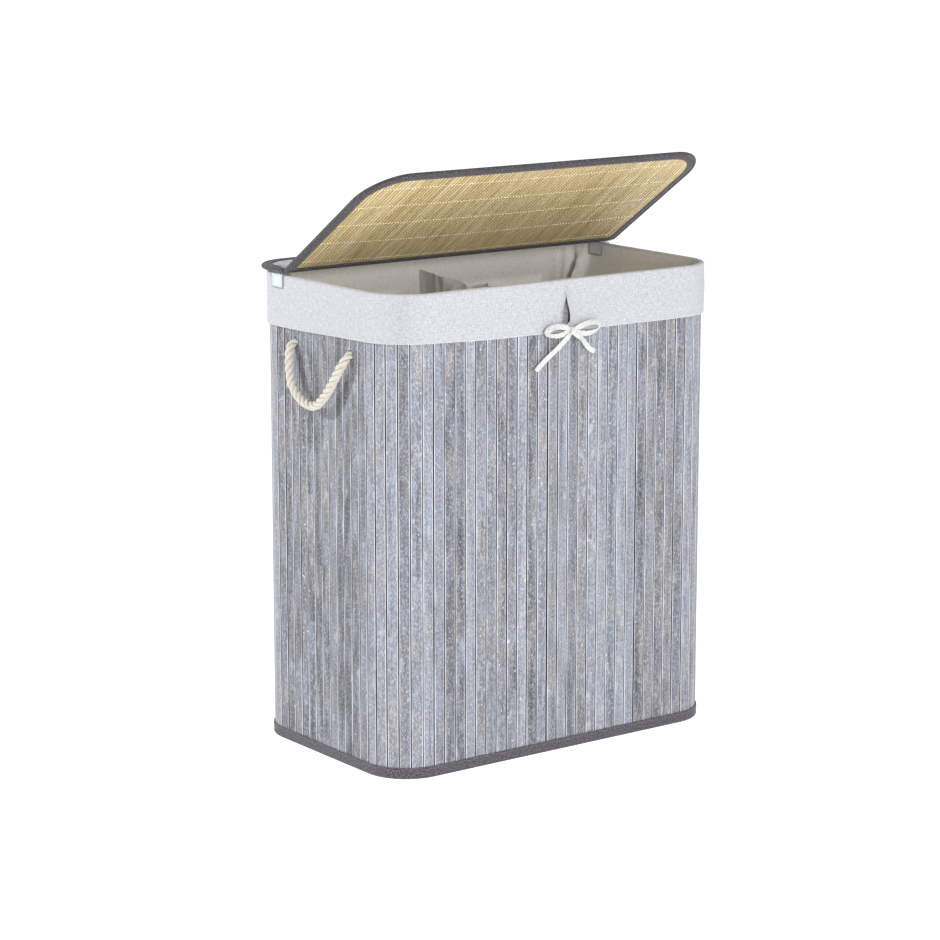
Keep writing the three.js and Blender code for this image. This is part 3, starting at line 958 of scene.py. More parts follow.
@dataclass(frozen=True)
class SlatStock:
    """Planed bamboo strip that slats and sticks are cut from."""

    thickness: float
    gap: float
    bevel: float
    segments: int = 2
    band: float = 0.0
    turn: float = 0.5
    shift: float = 0.0

    def piece(self, width: float, length: float) -> bpy.types.Object:
        """One strip, standing, with its face towards -Y and its long front edges rounded."""
        bpy.ops.mesh.primitive_cube_add(size=1.0, location=(0, self.thickness / 2, 0))
        bpy.context.object.scale = (width - self.gap, self.thickness, length)
        made = take("strip")

        def long_front(edge: bmesh.types.BMEdge) -> bool:
            """Whether an edge runs up the strip's face."""
            a, b = (v.co for v in edge.verts)
            return a.y < 1e-6 and b.y < 1e-6 and abs(a.x - b.x) < 1e-6

        rounding = {"offset": self.bevel, "segments": self.segments, "affect": "EDGES"}
        edited(made, "EDGE", long_front, bpy.ops.mesh.bevel, **rounding)
        if self.band:
            edited(made, "FACE", lambda face: face.normal.y < -0.99, bpy.ops.mesh.inset, thickness=self.band)
        return made

    def mark(
        self, item: bpy.types.Object, tone: float, seed: float, width: float, middle: float = 0.0
    ) -> None:
        """Stores a strip's tone, grain, its edges for wear and painted highlight, its sides for painted shade.

        Args:
            item: the strip, still standing at the origin.
            tone: its tone, from 0 to 1.
            seed: what sets its grain apart.
            width: its width.
            middle: where its middle lies across.
        """
        points = [v.co for v in item.data.vertices]
        layer = item.data.attributes.new("grain", "FLOAT_VECTOR", "POINT")
        layer.data.foreach_set("vector", [c for p in points for c in (p.x, seed, p.z)])
        point_values(item, "tone", [tone] * len(points))
        # edge marks the front corners of both long sides, lightened as wear and as a painted highlight; side
        # marks the faces down in the gap, darkened as painted shade.
        rim = width / 2 - self.bevel * 1.05
        out = [abs(p.x - middle) > rim for p in points]
        low, high = 0.3 * self.bevel, 0.9 * self.bevel
        point_values(item, "edge", [1.0 if far and p.y < low else 0.0 for far, p in zip(out, points)])
        point_values(item, "side", [ease(p.y, low, high) if far else 0.0 for far, p in zip(out, points)])


@dataclass
class SlatWall:
    """The wall's slats: four straight runs and four round corners."""

    finishes: Finishes
    box: RoundedBox = WALL
    bottom: float = 4.4 * MM
    top: float = 591.1 * MM
    stock: SlatStock = SlatStock(
        2.4 * MM, 0.95 * MM, 0.7 * MM, segments=3, band=0.45 * MM, turn=0.9, shift=0.25 * MM
    )
    spare: float = 0.05
    front_count: int = 25
    side_count: int = 12
    corner_count: int = 6
    seed: int = 7

    def build(self) -> None:
        """Builds every run and corner."""
        self.random = random.Random(self.seed)
        cx, cy = self.box.half_x - self.box.radius, self.box.half_y - self.box.radius
        for name, nx, ny, count in (
            ("front", 0, -1, self.front_count),
            ("right", 1, 0, self.side_count),
            ("back", 0, 1, self.front_count),
            ("left", -1, 0, self.side_count),
        ):
            half = (cx if nx == 0 else cy) - 0.3 * MM
            out = self.box.half_y if nx == 0 else self.box.half_x
            pitch = 2 * half / count
            places = []
            for i in range(count):
                s = -half + (i + 0.5) * pitch
                places.append((Vector((nx * out - ny * s, ny * out + nx * s, 0)), math.atan2(ny, nx), pitch))
            # The side runs draw only from the dark end of the tones: a painted shade, so the end walls look less
            # lit than the front and back.
            self.panel(f"{name}_slats", places, (0.0, 0.34) if nx else (0.06, 0.94), cut=nx != 0)
        for name, x, y, start in (
            ("front_left", -cx, -cy, 180),
            ("front_right", cx, -cy, 270),
            ("back_right", cx, cy, 0),
            ("back_left", -cx, cy, 90),
        ):
            step = math.radians(90 / self.corner_count)
            reach = self.box.radius * math.cos(step / 2)
            pitch = 2 * self.box.radius * math.sin(step / 2)
            places = []
            for i in range(self.corner_count):
                a = math.radians(start) + (i + 0.5) * step
                centre = Vector((x + reach * math.cos(a), y + reach * math.sin(a), 0))
                places.append((centre, a, pitch))
            self.panel(f"{name}_corner_slats", places, (0.1, 1.0), cut=False)

    def panel(
        self, name: str, places: Sequence[tuple[Vector, float, float]], tones: tuple[float, float], cut: bool
    ) -> None:
        """Builds one run of slats, each a little narrower than its place and off its middle.

        Args:
            name: the node that the run stands for.
            places: each slat's place, the way it faces and its pitch.
            tones: the run's darkest and lightest tone.
            cut: whether the rope holes go through it.
        """
        pitch = places[0][2]
        length, middle = self.top - self.bottom, (self.top + self.bottom) / 2
        template = self.stock.piece(pitch, length)
        parts = []
        for centre, facing, _ in places:
            share = 1 - self.random.uniform(0, self.spare)
            width = (pitch - self.stock.gap) * share
            aside = self.random.uniform(-0.5, 0.5) * (1 - share) * pitch
            slat = copied(template, Matrix.Translation((aside, 0, 0)) @ Matrix.Diagonal((share, 1, 1, 1)))
            if cut:
                self.bore(slat, centre.y, 1 if centre.x > 0 else -1, middle, pitch)
            self.stock.mark(slat, self.random.uniform(*tones), self.random.uniform(0, 60), width, aside)
            depth = self.random.uniform(0, self.stock.shift)
            tilt = math.radians(self.random.uniform(-self.stock.turn, self.stock.turn))
            spot = centre + Vector((0, 0, middle)) - Vector((math.cos(facing), math.sin(facing), 0)) * depth
            slat.data.transform(Matrix.Translation(spot) @ Matrix.Rotation(facing + math.pi / 2 + tilt, 4, "Z"))
            parts.append(slat)
        bpy.data.objects.remove(template)
        made = joined(f"{name}_run", parts)
        smooth(made, 50)
        dress(made, self.finishes.grey, Body.HAMPER)
        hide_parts(name)

    def bore(self, slat: bpy.types.Object, y: float, sign: int, middle: float, pitch: float) -> None:
        """Cuts the rope holes that cross a slat, while it stands at the origin."""
        for hole in HOLES_Y:
            across = (hole - y) * sign
            if abs(across) > pitch / 2 + HOLE_RADIUS:
                continue
            bpy.ops.mesh.primitive_cylinder_add(
                vertices=40,
                radius=HOLE_RADIUS,
                depth=20 * MM,
                location=(across, 0, HOLE_Z - middle),
                rotation=(math.pi / 2, 0, 0),
            )
            drill = take("drill")
            apply_modifier(slat, "BOOLEAN", object=drill, operation="DIFFERENCE", solver="EXACT")
            bpy.data.objects.remove(drill)


# ---- cloth on the wall ----


@dataclass
class WallCloth:
    """The backing cloth, the two bindings round the wall's edges and the cloth under the base."""

    finishes: Finishes
    box: RoundedBox = WALL
    step: float = 5 * MM
    tape: float = 0.7 * MM
    thin: float = 0.4 * MM
    backing_in: float = 3.0 * MM
    binding_h: float = 14 * MM
    out: float = -0.7 * MM
    inside: float = 4.0 * MM

    def build(self) -> None:
        """Builds the four sheets and the binding's stitches."""
        self.backing()
        self.binding("bottom_binding", 0.36 * MM, 1)
        self.binding("top_binding", 595.1 * MM, -1)
        self.base()
        line = [
            s.at(self.out - self.tape / 2 - 0.1 * MM, self.binding_h - 2.4 * MM)
            for s in self.box.stations(4.0 * MM)
        ]
        line.append(line[0])
        sewn = Stitches(radius=0.26 * MM).run("bottom_binding_stitches", line, self.outward)
        dress(sewn, self.finishes.dark_thread, Body.HAMPER)

    def outward(self, point: Vector) -> Vector:
        """The way out of the wall at a point."""
        cx, cy = self.box.half_x - self.box.radius, self.box.half_y - self.box.radius
        near = Vector((max(-cx, min(cx, point.x)), max(-cy, min(cy, point.y)), point.z))
        away = point - near
        if abs(point.x) <= cx:
            away = Vector((0, math.copysign(1, point.y), 0))
        elif abs(point.y) <= cy:
            away = Vector((math.copysign(1, point.x), 0, 0))
        return away

    def backing(self) -> None:
        """The cloth that the slats are glued to, faintly puckered between them, with rope holes."""
        low, high = 4.6 * MM, 590.9 * MM
        rows = []
        for s in self.box.stations(self.step):
            row = []
            for j in range(61):
                z = low + (high - low) * j / 60
                pucker = 0.14 * MM * noise.noise(Vector((s.x * 60, s.y * 60, z * 30)))
                row.append((s.at(self.backing_in + pucker, z), (s.along, z)))
            rows.append(row)
        cloth = cloth_grid("backing_cloth_sheet", rows, self.box.length())
        apply_modifier(cloth, "SOLIDIFY", thickness=self.thin, offset=0.0)
        for x in (-self.box.half_x, self.box.half_x):
            for y in HOLES_Y:
                bpy.ops.mesh.primitive_cylinder_add(
                    vertices=32,
                    radius=HOLE_RADIUS,
                    depth=30 * MM,
                    location=(x, y, HOLE_Z),
                    rotation=(0, math.pi / 2, 0),
                )
                drill = take("drill")
                apply_modifier(cloth, "BOOLEAN", object=drill, operation="DIFFERENCE", solver="EXACT")
                bpy.data.objects.remove(drill)
        smooth(cloth)
        dress(cloth, self.finishes.backing, Body.HAMPER)
        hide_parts("backing_cloth")

    def binding(self, node: str, fold_z: float, up: int) -> None:
        """A tape folded over the wall's edge.

        Args:
            node: the node it stands for.
            fold_z: the height of its fold.
            up: 1 where its legs rise from the fold, -1 where they hang.
        """
        legs = [self.binding_h * k / 6 for k in range(6, 0, -1)]
        wide, middle = (self.inside - self.out) / 2, (self.inside + self.out) / 2
        rows = []
        for s in self.box.stations(self.step):
            ripple = 0.25 * MM * noise.noise(Vector((s.x * 35, s.y * 35, fold_z * 9)))
            section = [(self.out - ripple * 0.4, leg + ripple * (leg / self.binding_h)) for leg in legs]
            for k in range(9):
                a = math.pi * k / 8
                section.append((middle - wide * math.cos(a), 1.5 * MM * (1 - math.sin(a))))
            section += [(self.inside, leg) for leg in reversed(legs)]
            spots = zip(section, walked(section))
            rows.append([(s.at(d, fold_z + up * rise), (s.along, gone)) for (d, rise), gone in spots])
        tape = cloth_grid(f"{node}_tape", rows, self.box.length())
        apply_modifier(tape, "SOLIDIFY", thickness=self.tape, offset=0.0)
        smooth(tape, 50)
        dress(tape, self.finishes.binding, Body.HAMPER)
        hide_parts(node)

    def base(self) -> None:
        """The cloth under the base, pulled flat between the bindings."""
        rows = []
        for s in self.box.stations(10 * MM):
            edge = s.at(4.9 * MM, 0.0)
            row = []
            for j in range(14):
                share = 1 - j / 13 * MIDDLE_REACH
                x, y = edge.x * share, edge.y * share
                lift = 0.45 + 0.2 * noise.noise(Vector((edge.x * share * 25, edge.y * share * 25, 3.0)))
                row.append((Vector((x, y, lift * MM)), (x, y)))
            rows.append(row)
        cloth = cloth_grid("base_cloth_sheet", rows, FLAT_RING)
        close_middle(cloth)
        apply_modifier(cloth, "SOLIDIFY", thickness=self.thin, offset=0.0)
        smooth(cloth)
        dress(cloth, self.finishes.binding, Body.HAMPER)
        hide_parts("base_cloth")


def close_middle(sheet: bpy.types.Object) -> None:
    """Fills the small ring left in the middle of a sheet that is made of rings."""

    def inner_rim(edge: bmesh.types.BMEdge) -> bool:
        """Whether an edge lies round the ring."""
        return edge.is_boundary and all(max(abs(v.co.x), abs(v.co.y)) < 12 * MM for v in edge.verts)

    edited(sheet, "EDGE", inner_rim, bpy.ops.mesh.edge_face_add)


# ---- the rope handles ----


@dataclass
class RopeHandle:
    """A handle of three-strand cotton rope, hanging between two holes and knotted inside."""

    finishes: Finishes
    name: str
    sign: int
    node: str
    body: Body
    radius: float = 5.75 * MM
    lay: float = 29 * MM
    wall: float = WALL.half_x
    middle_y: float = -4 * MM
    squeeze: float = 0.12
    route: tuple[Point, ...] = (
        (-4, 60, 516),
        (1, 60, 515.8),
        (4.8, 59.9, 513.8),
        (7.6, 59.3, 509.4),
        (10.2, 57.6, 501.5),
        (12.5, 54.4, 490.3),
        (14, 50.6, 478.4),
        (15.1, 44.4, 466.6),
        (15.5, 36.2, 458.5),
        (15.6, 23, 450.8),
        (15.6, 9.5, 447.2),
        (15.6, -2, 447),
        (15.5, -12.3, 450.6),
        (15, -22.5, 458.6),
        (14.3, -33.6, 470.2),
        (13.2, -43.6, 483.8),
        (11.4, -52.2, 496.8),
        (8.8, -57.6, 506.6),
        (5.2, -59.6, 512.6),
        (1, -60, 515.6),
        (-4, -60, 516),
    )

    def build(self) -> None:
        """Builds the rope, then its two knots."""
        points = [
            Vector((self.sign * (self.wall + out * MM), self.middle_y + y * MM, z * MM))
            for out, y, z in self.route
        ]
        path = resampled(points, 1.6 * MM)
        rope = self.strands(f"{self.name}_rope", path)
        dress(rope, self.finishes.rope, None)
        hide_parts(self.node)
        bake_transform(rope)
        for where, end in (("front", -1), ("back", 1)):
            self.knot(where, end)

    def strands(self, name: str, path: Sequence[Vector]) -> bpy.types.Object:
        """Lays three strands round a path.

        Args:
            name: the rope's name.
            path: its centre line.

        Returns:
            The rope, with how deep each point lies between the strands, where its material paints shade.
        """
        strand = self.radius / 2.1547
        helix = self.radius - strand
        across = frames(path, Vector((0.3, 0.2, 1.0)))
        last = len(path) - 1
        tight = [1 - self.squeeze * (1 - ease(min(i, last - i), 4, 14)) for i in range(last + 1)]
        parts = []
        for k in range(3):
            centre, gone = [], 0.0
            for i, (_, cross, third) in enumerate(across):
                if i:
                    gone += (path[i] - path[i - 1]).length
                a = 2 * math.pi * (k / 3 + gone / self.lay)
                centre.append(path[i] + (cross * math.cos(a) + third * math.sin(a)) * helix * tight[i])

            def section(i: int, _: float) -> list[tuple[float, float]]:
                ring = []
                for n in range(16):
                    lump = noise.noise(Vector((i * 0.55, n * 0.9, k * 9.0)))
                    wide = strand * tight[i] * (1.05 + 0.03 * math.sin(i * 0.9 + k) + 0.09 * lump)
                    ring.append((wide * math.cos(math.tau * n / 16), wide * math.sin(math.tau * n / 16)))
                return ring

            parts.append(swept(f"strand_{k}", centre, section, across[0][1]))
        # How near each point lies to the rope's axis, for the painted shade between the strands.
        depth = []
        for part in parts:
            for v in part.data.vertices:
                near = min((v.co - p).length for p in path)
                depth.append(0.75 * (1 - ease(near, self.radius * 0.5, self.radius * 0.82)))
            point_values(part, "deep", depth)
            depth = []
        rope = joined(name, parts)
        smooth(rope, 80)
        return rope

    def knot(self, where: str, end: int) -> None:
        """The overhand knot that holds a rope end inside the wall."""
        inner = self.wall - 14.6 * MM
        y = self.middle_y + end * 60 * MM
        path = []
        for i in range(121):
            t = math.tau * i / 120
            across = Vector((0, math.sin(t) + 2 * math.sin(2 * t), math.cos(t) - 2 * math.cos(2 * t)))
            centre = Vector((self.sign * (inner - 4.4 * MM * math.sin(3 * t)), y, HOLE_Z))
            path.append(centre + across * 2.85 * MM)
        hole = Vector((self.sign * (self.wall - 3 * MM), y, HOLE_Z))
        path += [path[-1].lerp(hole, k / 6) for k in range(1, 7)]
        rope = self.strands_thin(f"{self.name}_{where}_knot", path)
        dress(rope, self.finishes.rope, Body.HAMPER)
        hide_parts(f"{self.name}_{where}_rope_knot")

    def strands_thin(self, name: str, path: Sequence[Vector]) -> bpy.types.Object:
        """The rope of a knot, pulled tight and so a little thinner."""
        full = self.radius
        self.radius = full * 0.86
        made = self.strands(name, path)
        self.radius = full
        return made


# ---- the liner ----


@dataclass
class Liner:
    """The cotton liner: a bag folded over the rim as a cuff, with a divider and a drawstring bow."""

    finishes: Finishes
    box: RoundedBox = WALL
    cloth: float = 0.7 * MM
    hem_z: float = 532.5 * MM
    hem_h: float = 11 * MM
    rim: float = 596.7 * MM
    out: float = -2.6 * MM
    rim_in: float = 5.6 * MM
    slack: float = 8.6 * MM
    side_slack: float = 23.2 * MM
    floor_z: float = 8.6 * MM
    slit_x: float = -1 * MM
    slit_z: tuple[float, float] = (541 * MM, 582 * MM)
    slit_half: float = 6.2 * MM
    hem_rise: float = 5.2 * MM
    # How much of the cloth's lighter inside colour each part of the liner takes, the bag taking all of it:
    # painted light within the bag.
    pale: dict[str, float] = field(
        default_factory=lambda: {"hem": 0.3, "cuff": 0.0, "rim": 0.25, "divider": 0.85, "outer face": 0.35}
    )
    seed: int = 23

    def build(self) -> None:
        """Builds the bag, its floor, the divider, the hem's stitches, the drawstring and the bow."""
        self.plan_folds()
        self.bag()
        self.floor()
        self.divider()
        self.hem_stitches()
        self.drawstring()
        Bow(self.finishes).build()

    def plan_folds(self) -> None:
        """Draws where the bag's soft folds hang."""
        draw = random.Random(self.seed)
        total = self.box.length()
        self.folds = [
            (
                draw.uniform(0, total),
                draw.uniform(9, 20) * MM,
                draw.uniform(2.0, 7.5) * MM,
                draw.uniform(-0.16, 0.16),
                draw.uniform(15, 190) * MM,
            )
            for _ in range(46)
        ]
        cx, cy = self.box.half_x - self.box.radius, self.box.half_y - self.box.radius
        quarter = math.pi * self.box.radius / 2
        right_back = cx + quarter + 2 * cy
        corner_mids = [cx + quarter / 2, right_back + quarter / 2]
        corner_mids += [total - m for m in corner_mids]
        for middle in corner_mids:
            for shift, width, deep, lean in (
                (-29, 6, 8.5, 0.1),
                (-14, 4.5, 10.5, -0.3),
                (4, 6, 9, -0.12),
                (22, 8, 6, -0.2),
            ):
                self.folds.append((middle + shift * MM, width * MM, deep * MM, lean, -16 * MM))

    def fold_depth(self, along: float, z: float) -> float:
        """How far a point of the bag is folded inwards."""
        total, below = self.box.length(), self.rim - z
        deep = 0.0
        for at, width, amount, lean, start in self.folds:
            apart = (along - at - lean * below + total / 2) % total - total / 2
            if abs(apart) < 3 * width:
                deep += amount * math.exp(-((apart / width) ** 2)) * ease(below, start, start + 60 * MM)
        return deep

    def hem_lift(self, along: float) -> float:
        """How far the hem rides up, most at the front left corner."""
        total = self.box.length()
        corner = total - (self.box.half_x - self.box.radius) - math.pi * self.box.radius / 4
        apart = abs((along - corner + total / 2) % total - total / 2)
        wander = 1.2 * MM * noise.noise(Vector((along * 9, 3.0, 1.0)))
        return self.hem_rise * (1 - ease(apart, 0, 190 * MM)) + wander

    def near_seam(self, along: float) -> float:
        """1 far from the divider's two seams, 0 at them."""
        total = self.box.length()
        apart = min(min(along, total - along), abs(along - total / 2))
        return ease(apart, 4 * MM, 45 * MM)

    def profile(self) -> list[tuple[str, float, float]]:
        """The liner's section from the turned-up hem, over the rim and down inside.

        Returns:
            Each point's part, its place in from the slats' face and its height.
        """
        points = [("hem", -1.25 * MM, self.hem_z + self.hem_h * k / 4) for k in (4, 3, 2, 1)]
        middle, half = (self.out - 1.25 * MM) / 2, (-1.25 * MM - self.out) / 2
        for k in range(1, 6):
            a = math.pi * k / 6
            points.append(("hem", middle + half * math.cos(a), self.hem_z + 0.8 * MM - 0.9 * MM * math.sin(a)))
        rise = self.rim - 3.2 * MM - self.hem_z - 1.5 * MM
        points += [("cuff", self.out, self.hem_z + 1.5 * MM + rise * k / 26) for k in range(27)]
        centre, wide = (self.out + self.rim_in) / 2, (self.rim_in - self.out) / 2
        for k in range(1, 8):
            a = math.pi * k / 8
            top = self.rim - 3.2 * MM + 3.2 * MM * math.sin(a) ** 0.6
            points.append(("rim", centre - wide * math.cos(a), top))
        heights = [593, 590, 587, 584, 581, 578, 575, 571, 567, 563, 559, 555, 551, 547, 543, 539, 535, 531]
        heights += [526, 521, 515, 508, 500, 491, 481, 470, 458, 445, 430, 414]
        heights += [396 - 24 * k for k in range(16)] + [20, 12, 9]
        points += [("bag", self.rim_in, z * MM) for z in heights]
        return points

    def cuff_push(self, x: float, y: float, z: float) -> float:
        """How far the cuff stands off its plain face: soft wrinkles, and puckers by the slit."""
        low, high = self.hem_z, self.rim
        body = math.sin(math.pi * min(1.0, max(0.0, (z - low) / (high - low))))
        broad = noise.noise(Vector((x * 16, y * 16, z * 26)))
        fine = noise.noise(Vector((x * 44 + 5, y * 44, z * 52)))
        push = body * (1.1 * broad + 0.55 * fine) * MM
        if y < 0:
            apart = x - self.slit_x
            near = math.exp(-((apart / (17 * MM)) ** 2))
            open_z = ease(z, 533 * MM, 548 * MM) * (1 - ease(z, 574 * MM, 594 * MM))
            lip = 4.2 * MM if apart > 0 else 1.6 * MM
            push += lip * math.exp(-((apart / (8 * MM)) ** 2)) * open_z
            rays = math.sin(math.atan2(z - 540 * MM, apart) * 9 + 1.2)
            pucker = 0.9 * MM * rays * near * ease(abs(apart), 3 * MM, 10 * MM)
            push += pucker * (1 - ease(z, 566 * MM, 586 * MM))
        return push

    def bag(self) -> None:
        """The bag and cuff, one cloth from the hem to the floor."""
        total = self.box.length()
        plain = [total * i / 372 for i in range(372)]
        slit = self.slit_x
        crowd = [slit + side * k * 1.6 * MM for side in (-1, 1) for k in range(1, 13)]
        clear = {a for a in plain if min(abs(a - slit), total - abs(a - slit)) > 21 * MM}
        columns = [(a, 0) for a in sorted(clear | {a % total for a in crowd})] + [(slit, -1), (slit, 1)]
        columns.sort(key=lambda c: (c[0], c[1]))
        seam = columns.index((slit, -1))
        profile = self.profile()
        lengths = walked([(d, z) for _, d, z in profile])
        rows = []
        for along, edge in columns:
            s = self.box.station(along)
            spots = zip(profile, lengths)
            rows.append([(self.bag_point(s, part, d, z, edge), (along, gone)) for (part, d, z), gone in spots])
        cloth = cloth_grid("liner_bag", rows, total, skip=lambda i, _: i == seam)
        # Each part takes its share of the painted light, and faces that look outwards keep less of it.
        shares = [self.pale.get(part, 1.0) for part, _, _ in profile]
        point_values(cloth, "inside", shares * len(columns))
        edited(cloth, "EDGE", None, bpy.ops.mesh.remove_doubles, threshold=0.01 * MM)
        apply_modifier(cloth, "SOLIDIFY", thickness=self.cloth, offset=0.0)
        for vertex, share in zip(cloth.data.vertices, cloth.data.attributes["inside"].data):
            if vertex.normal.x * vertex.co.x + vertex.normal.y * vertex.co.y > 0:
                share.value *= self.pale["outer face"]
        smooth(cloth, 70)
        dress(cloth, self.finishes.cotton, Body.LINER)
        sides = ("front", "right", "back", "left")
        corners = ("front_left", "front_right", "back_right", "back_left")
        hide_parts(*(f"{kind}_{side}" for kind in ("liner", "cuff") for side in sides))
        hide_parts(*(f"{kind}_{corner}_corner" for kind in ("liner", "cuff") for corner in corners))

    def bag_point(self, s: Station, part: str, d: float, z: float, edge: int) -> Vector:
        """Where a point of the liner's section lies at a station.

        Args:
            s: the station.
            part: the section's part.
            d: its place in from the slats' face.
            z: its height.
            edge: -1 or 1 on the slit's two edges, else 0.

        Returns:
            The point.
        """
        if part == "bag":
            fall = 1 - ease(z, 530 * MM, 577 * MM)
            dx = d + (self.side_slack - d) * fall
            dy = d + (self.slack - d) * fall
            fold = self.fold_depth(s.along, z) * self.near_seam(s.along)
            fold *= ease(z, 6 * MM, 60 * MM)
            fold += 0.5 * MM * noise.noise(Vector((s.x * 30, s.y * 30, z * 25)))
            return s.at(dx + fold, z, dy + fold)
        if part == "rim":
            sway = 0.25 * MM * noise.noise(Vector((s.x * 40, s.y * 40, 1.0)))
            return s.at(d, z + sway)
        sway = self.hem_lift(s.along) * (1 - ease(z, 540 * MM, 590 * MM))
        push = self.cuff_push(s.x, s.y, z) if part == "cuff" else 0.0
        point = s.at(d - max(push, -0.5 * MM), z + sway)
        if part == "cuff" and s.y < 0:
            low, high = self.slit_z
            if low < z < high:
                share = (z - low) / (high - low)
                width = self.slit_half * ease(share, -0.02, 0.1) * (1 - ease(share, 0.3, 1.0) ** 0.8)
                apart = s.x - self.slit_x
                side = edge or (1 if apart > 0 else -1)
                point.x += side * width * (1 - ease(abs(apart), 0, 20 * MM))
        return point

    def floor(self) -> None:
        """The bag's floor, lying on the base board with a few soft creases."""
        rows = []
        for s in self.box.stations(8 * MM):
            edge = s.at(self.side_slack + 0.4 * MM, 0.0, self.slack + 0.4 * MM)
            row = []
            for j in range(24):
                share = 1 - j / 23 * MIDDLE_REACH
                x, y = edge.x * share, edge.y * share
                lift = noise.ridged_multi_fractal(Vector((x * 11, y * 11, 2.0)), 1.0, 2.0, 2, 0.9, 1.6)
                lift = min(2.2, max(0.0, lift - 1.1) * 2.2) * (1 - share**12)
                row.append((Vector((x, y, self.floor_z + lift * MM)), (x, y)))
            rows.append(row)
        cloth = cloth_grid("liner_floor", rows, FLAT_RING)
        # The floor of the bag takes all of the painted light.
        point_values(cloth, "inside", [1.0] * len(cloth.data.vertices))
        close_middle(cloth)
        apply_modifier(cloth, "SOLIDIFY", thickness=self.cloth, offset=0.0)
        smooth(cloth)
        dress(cloth, self.finishes.cotton, Body.LINER)
        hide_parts("liner_bottom")

    def divider(self) -> None:
        """The sheet that parts the bag in two, its top edge sagging and crumpled."""
        rows = []
        for i in range(61):
            share = -1 + 2 * i / 60
            row = []
            sag = 4.5 * MM * (1 - share**2) - 7 * MM * ease(-share, -0.1, 0.7)
            ripple = 2.4 * MM * noise.noise(Vector((share * 5.0, 4.0, 0.0))) * (1 - share**4)
            dip = 5 * MM * math.exp(-(((share - 0.3) / 0.13) ** 2))
            top = 575.5 * MM - sag + ripple - dip
            for j in range(71):
                z = 10 * MM + (top - 10 * MM) * (j / 70) ** 0.8
                slack = self.slack + (self.rim_in - self.slack) * ease(z, 530 * MM, 577 * MM)
                y = share * (self.box.half_y - slack - 0.4 * MM)
                free = (1 - share**6) * ease(z, 12 * MM, 80 * MM)
                near_top = ease(z, top - 75 * MM, top)
                wave = 7 * MM * noise.noise(Vector((share * 3.1, z * 7, 9.0)))
                folds = noise.noise(Vector((share * 13 + z * 26, z * 17 - share * 3, 5.0)))
                fine = noise.noise(Vector((share * 30 + z * 40, z * 60, 2.0)))
                crease = (8.5 * folds + 2.2 * fine) * MM * near_top
                x = (wave + crease) * free + 8 * MM * near_top * math.sin(share * 7.5) * (1 - share**4)
                row.append((Vector((x, y, z)), (y, z)))
            rows.append(row)
        cloth = cloth_grid("divider_sheet", rows)
        # The divider takes most of the painted light.
        point_values(cloth, "inside", [self.pale["divider"]] * len(cloth.data.vertices))
        apply_modifier(cloth, "SOLIDIFY", thickness=self.cloth * 1.2, offset=0.0)
        apply_modifier(cloth, "SUBSURF", levels=1, render_levels=1)
        smooth(cloth, 70)
        dress(cloth, self.finishes.cotton, Body.LINER)
        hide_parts("liner_divider")

    def hem_stitches(self) -> None:
        """The line of stitches along the top of the hem's channel."""
        total = self.box.length()
        z = self.hem_z + self.hem_h - 0.6 * MM
        line = []
        count = round(total / (3.6 * MM))
        for i in range(count + 1):
            s = self.box.station(total * i / count)
            p = self.bag_point(s, "cuff", self.out, z, 0)
            line.append(p + Vector((s.nx, s.ny, 0)) * (self.cloth / 2 - 0.05 * MM))
        wall = WallCloth(self.finishes)
        sewn = Stitches(length=2.5 * MM, radius=0.22 * MM).run("hem_stitches", line, wall.outward)
        dress(sewn, self.finishes.tape, Body.LINER)

    def drawstring(self) -> None:
        """The tape that runs in the hem's channel."""
        rows = []
        for s in self.box.stations(6 * MM):
            shift = 0.8 * MM * noise.noise(Vector((s.x * 22, s.y * 22, 2.0)))
            rise = shift + self.hem_lift(s.along)
            heights = enumerate((534.2, 535.7, 537.2, 538.7, 540.2))
            rows.append([(s.at(-1.95 * MM, z * MM + rise), (s.along, k * 1.5 * MM)) for k, z in heights])
        tape = cloth_grid("drawstring_tape", rows, self.box.length())
        apply_modifier(tape, "SOLIDIFY", thickness=0.35 * MM, offset=0.0)
        smooth(tape)
        dress(tape, self.finishes.tape, Body.LINER)
        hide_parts("drawstring")


def tape_section(width: float, thick: float) -> list[tuple[float, float]]:
    """A flat tape's section with soft edges: its width across, its thickness out."""
    w, t = width / 2, thick / 2
    return [
        (-w, 0.0),
        (-w * 0.94, -t * 0.75),
        (-w * 0.5, -t),
        (0.0, -t * 0.9),
        (w * 0.5, -t),
        (w * 0.94, -t * 0.75),
        (w, 0.0),
        (w * 0.94, t * 0.75),
        (w * 0.5, t),
        (0.0, t * 0.9),
        (-w * 0.5, t),
        (-w * 0.94, t * 0.75),
    ]


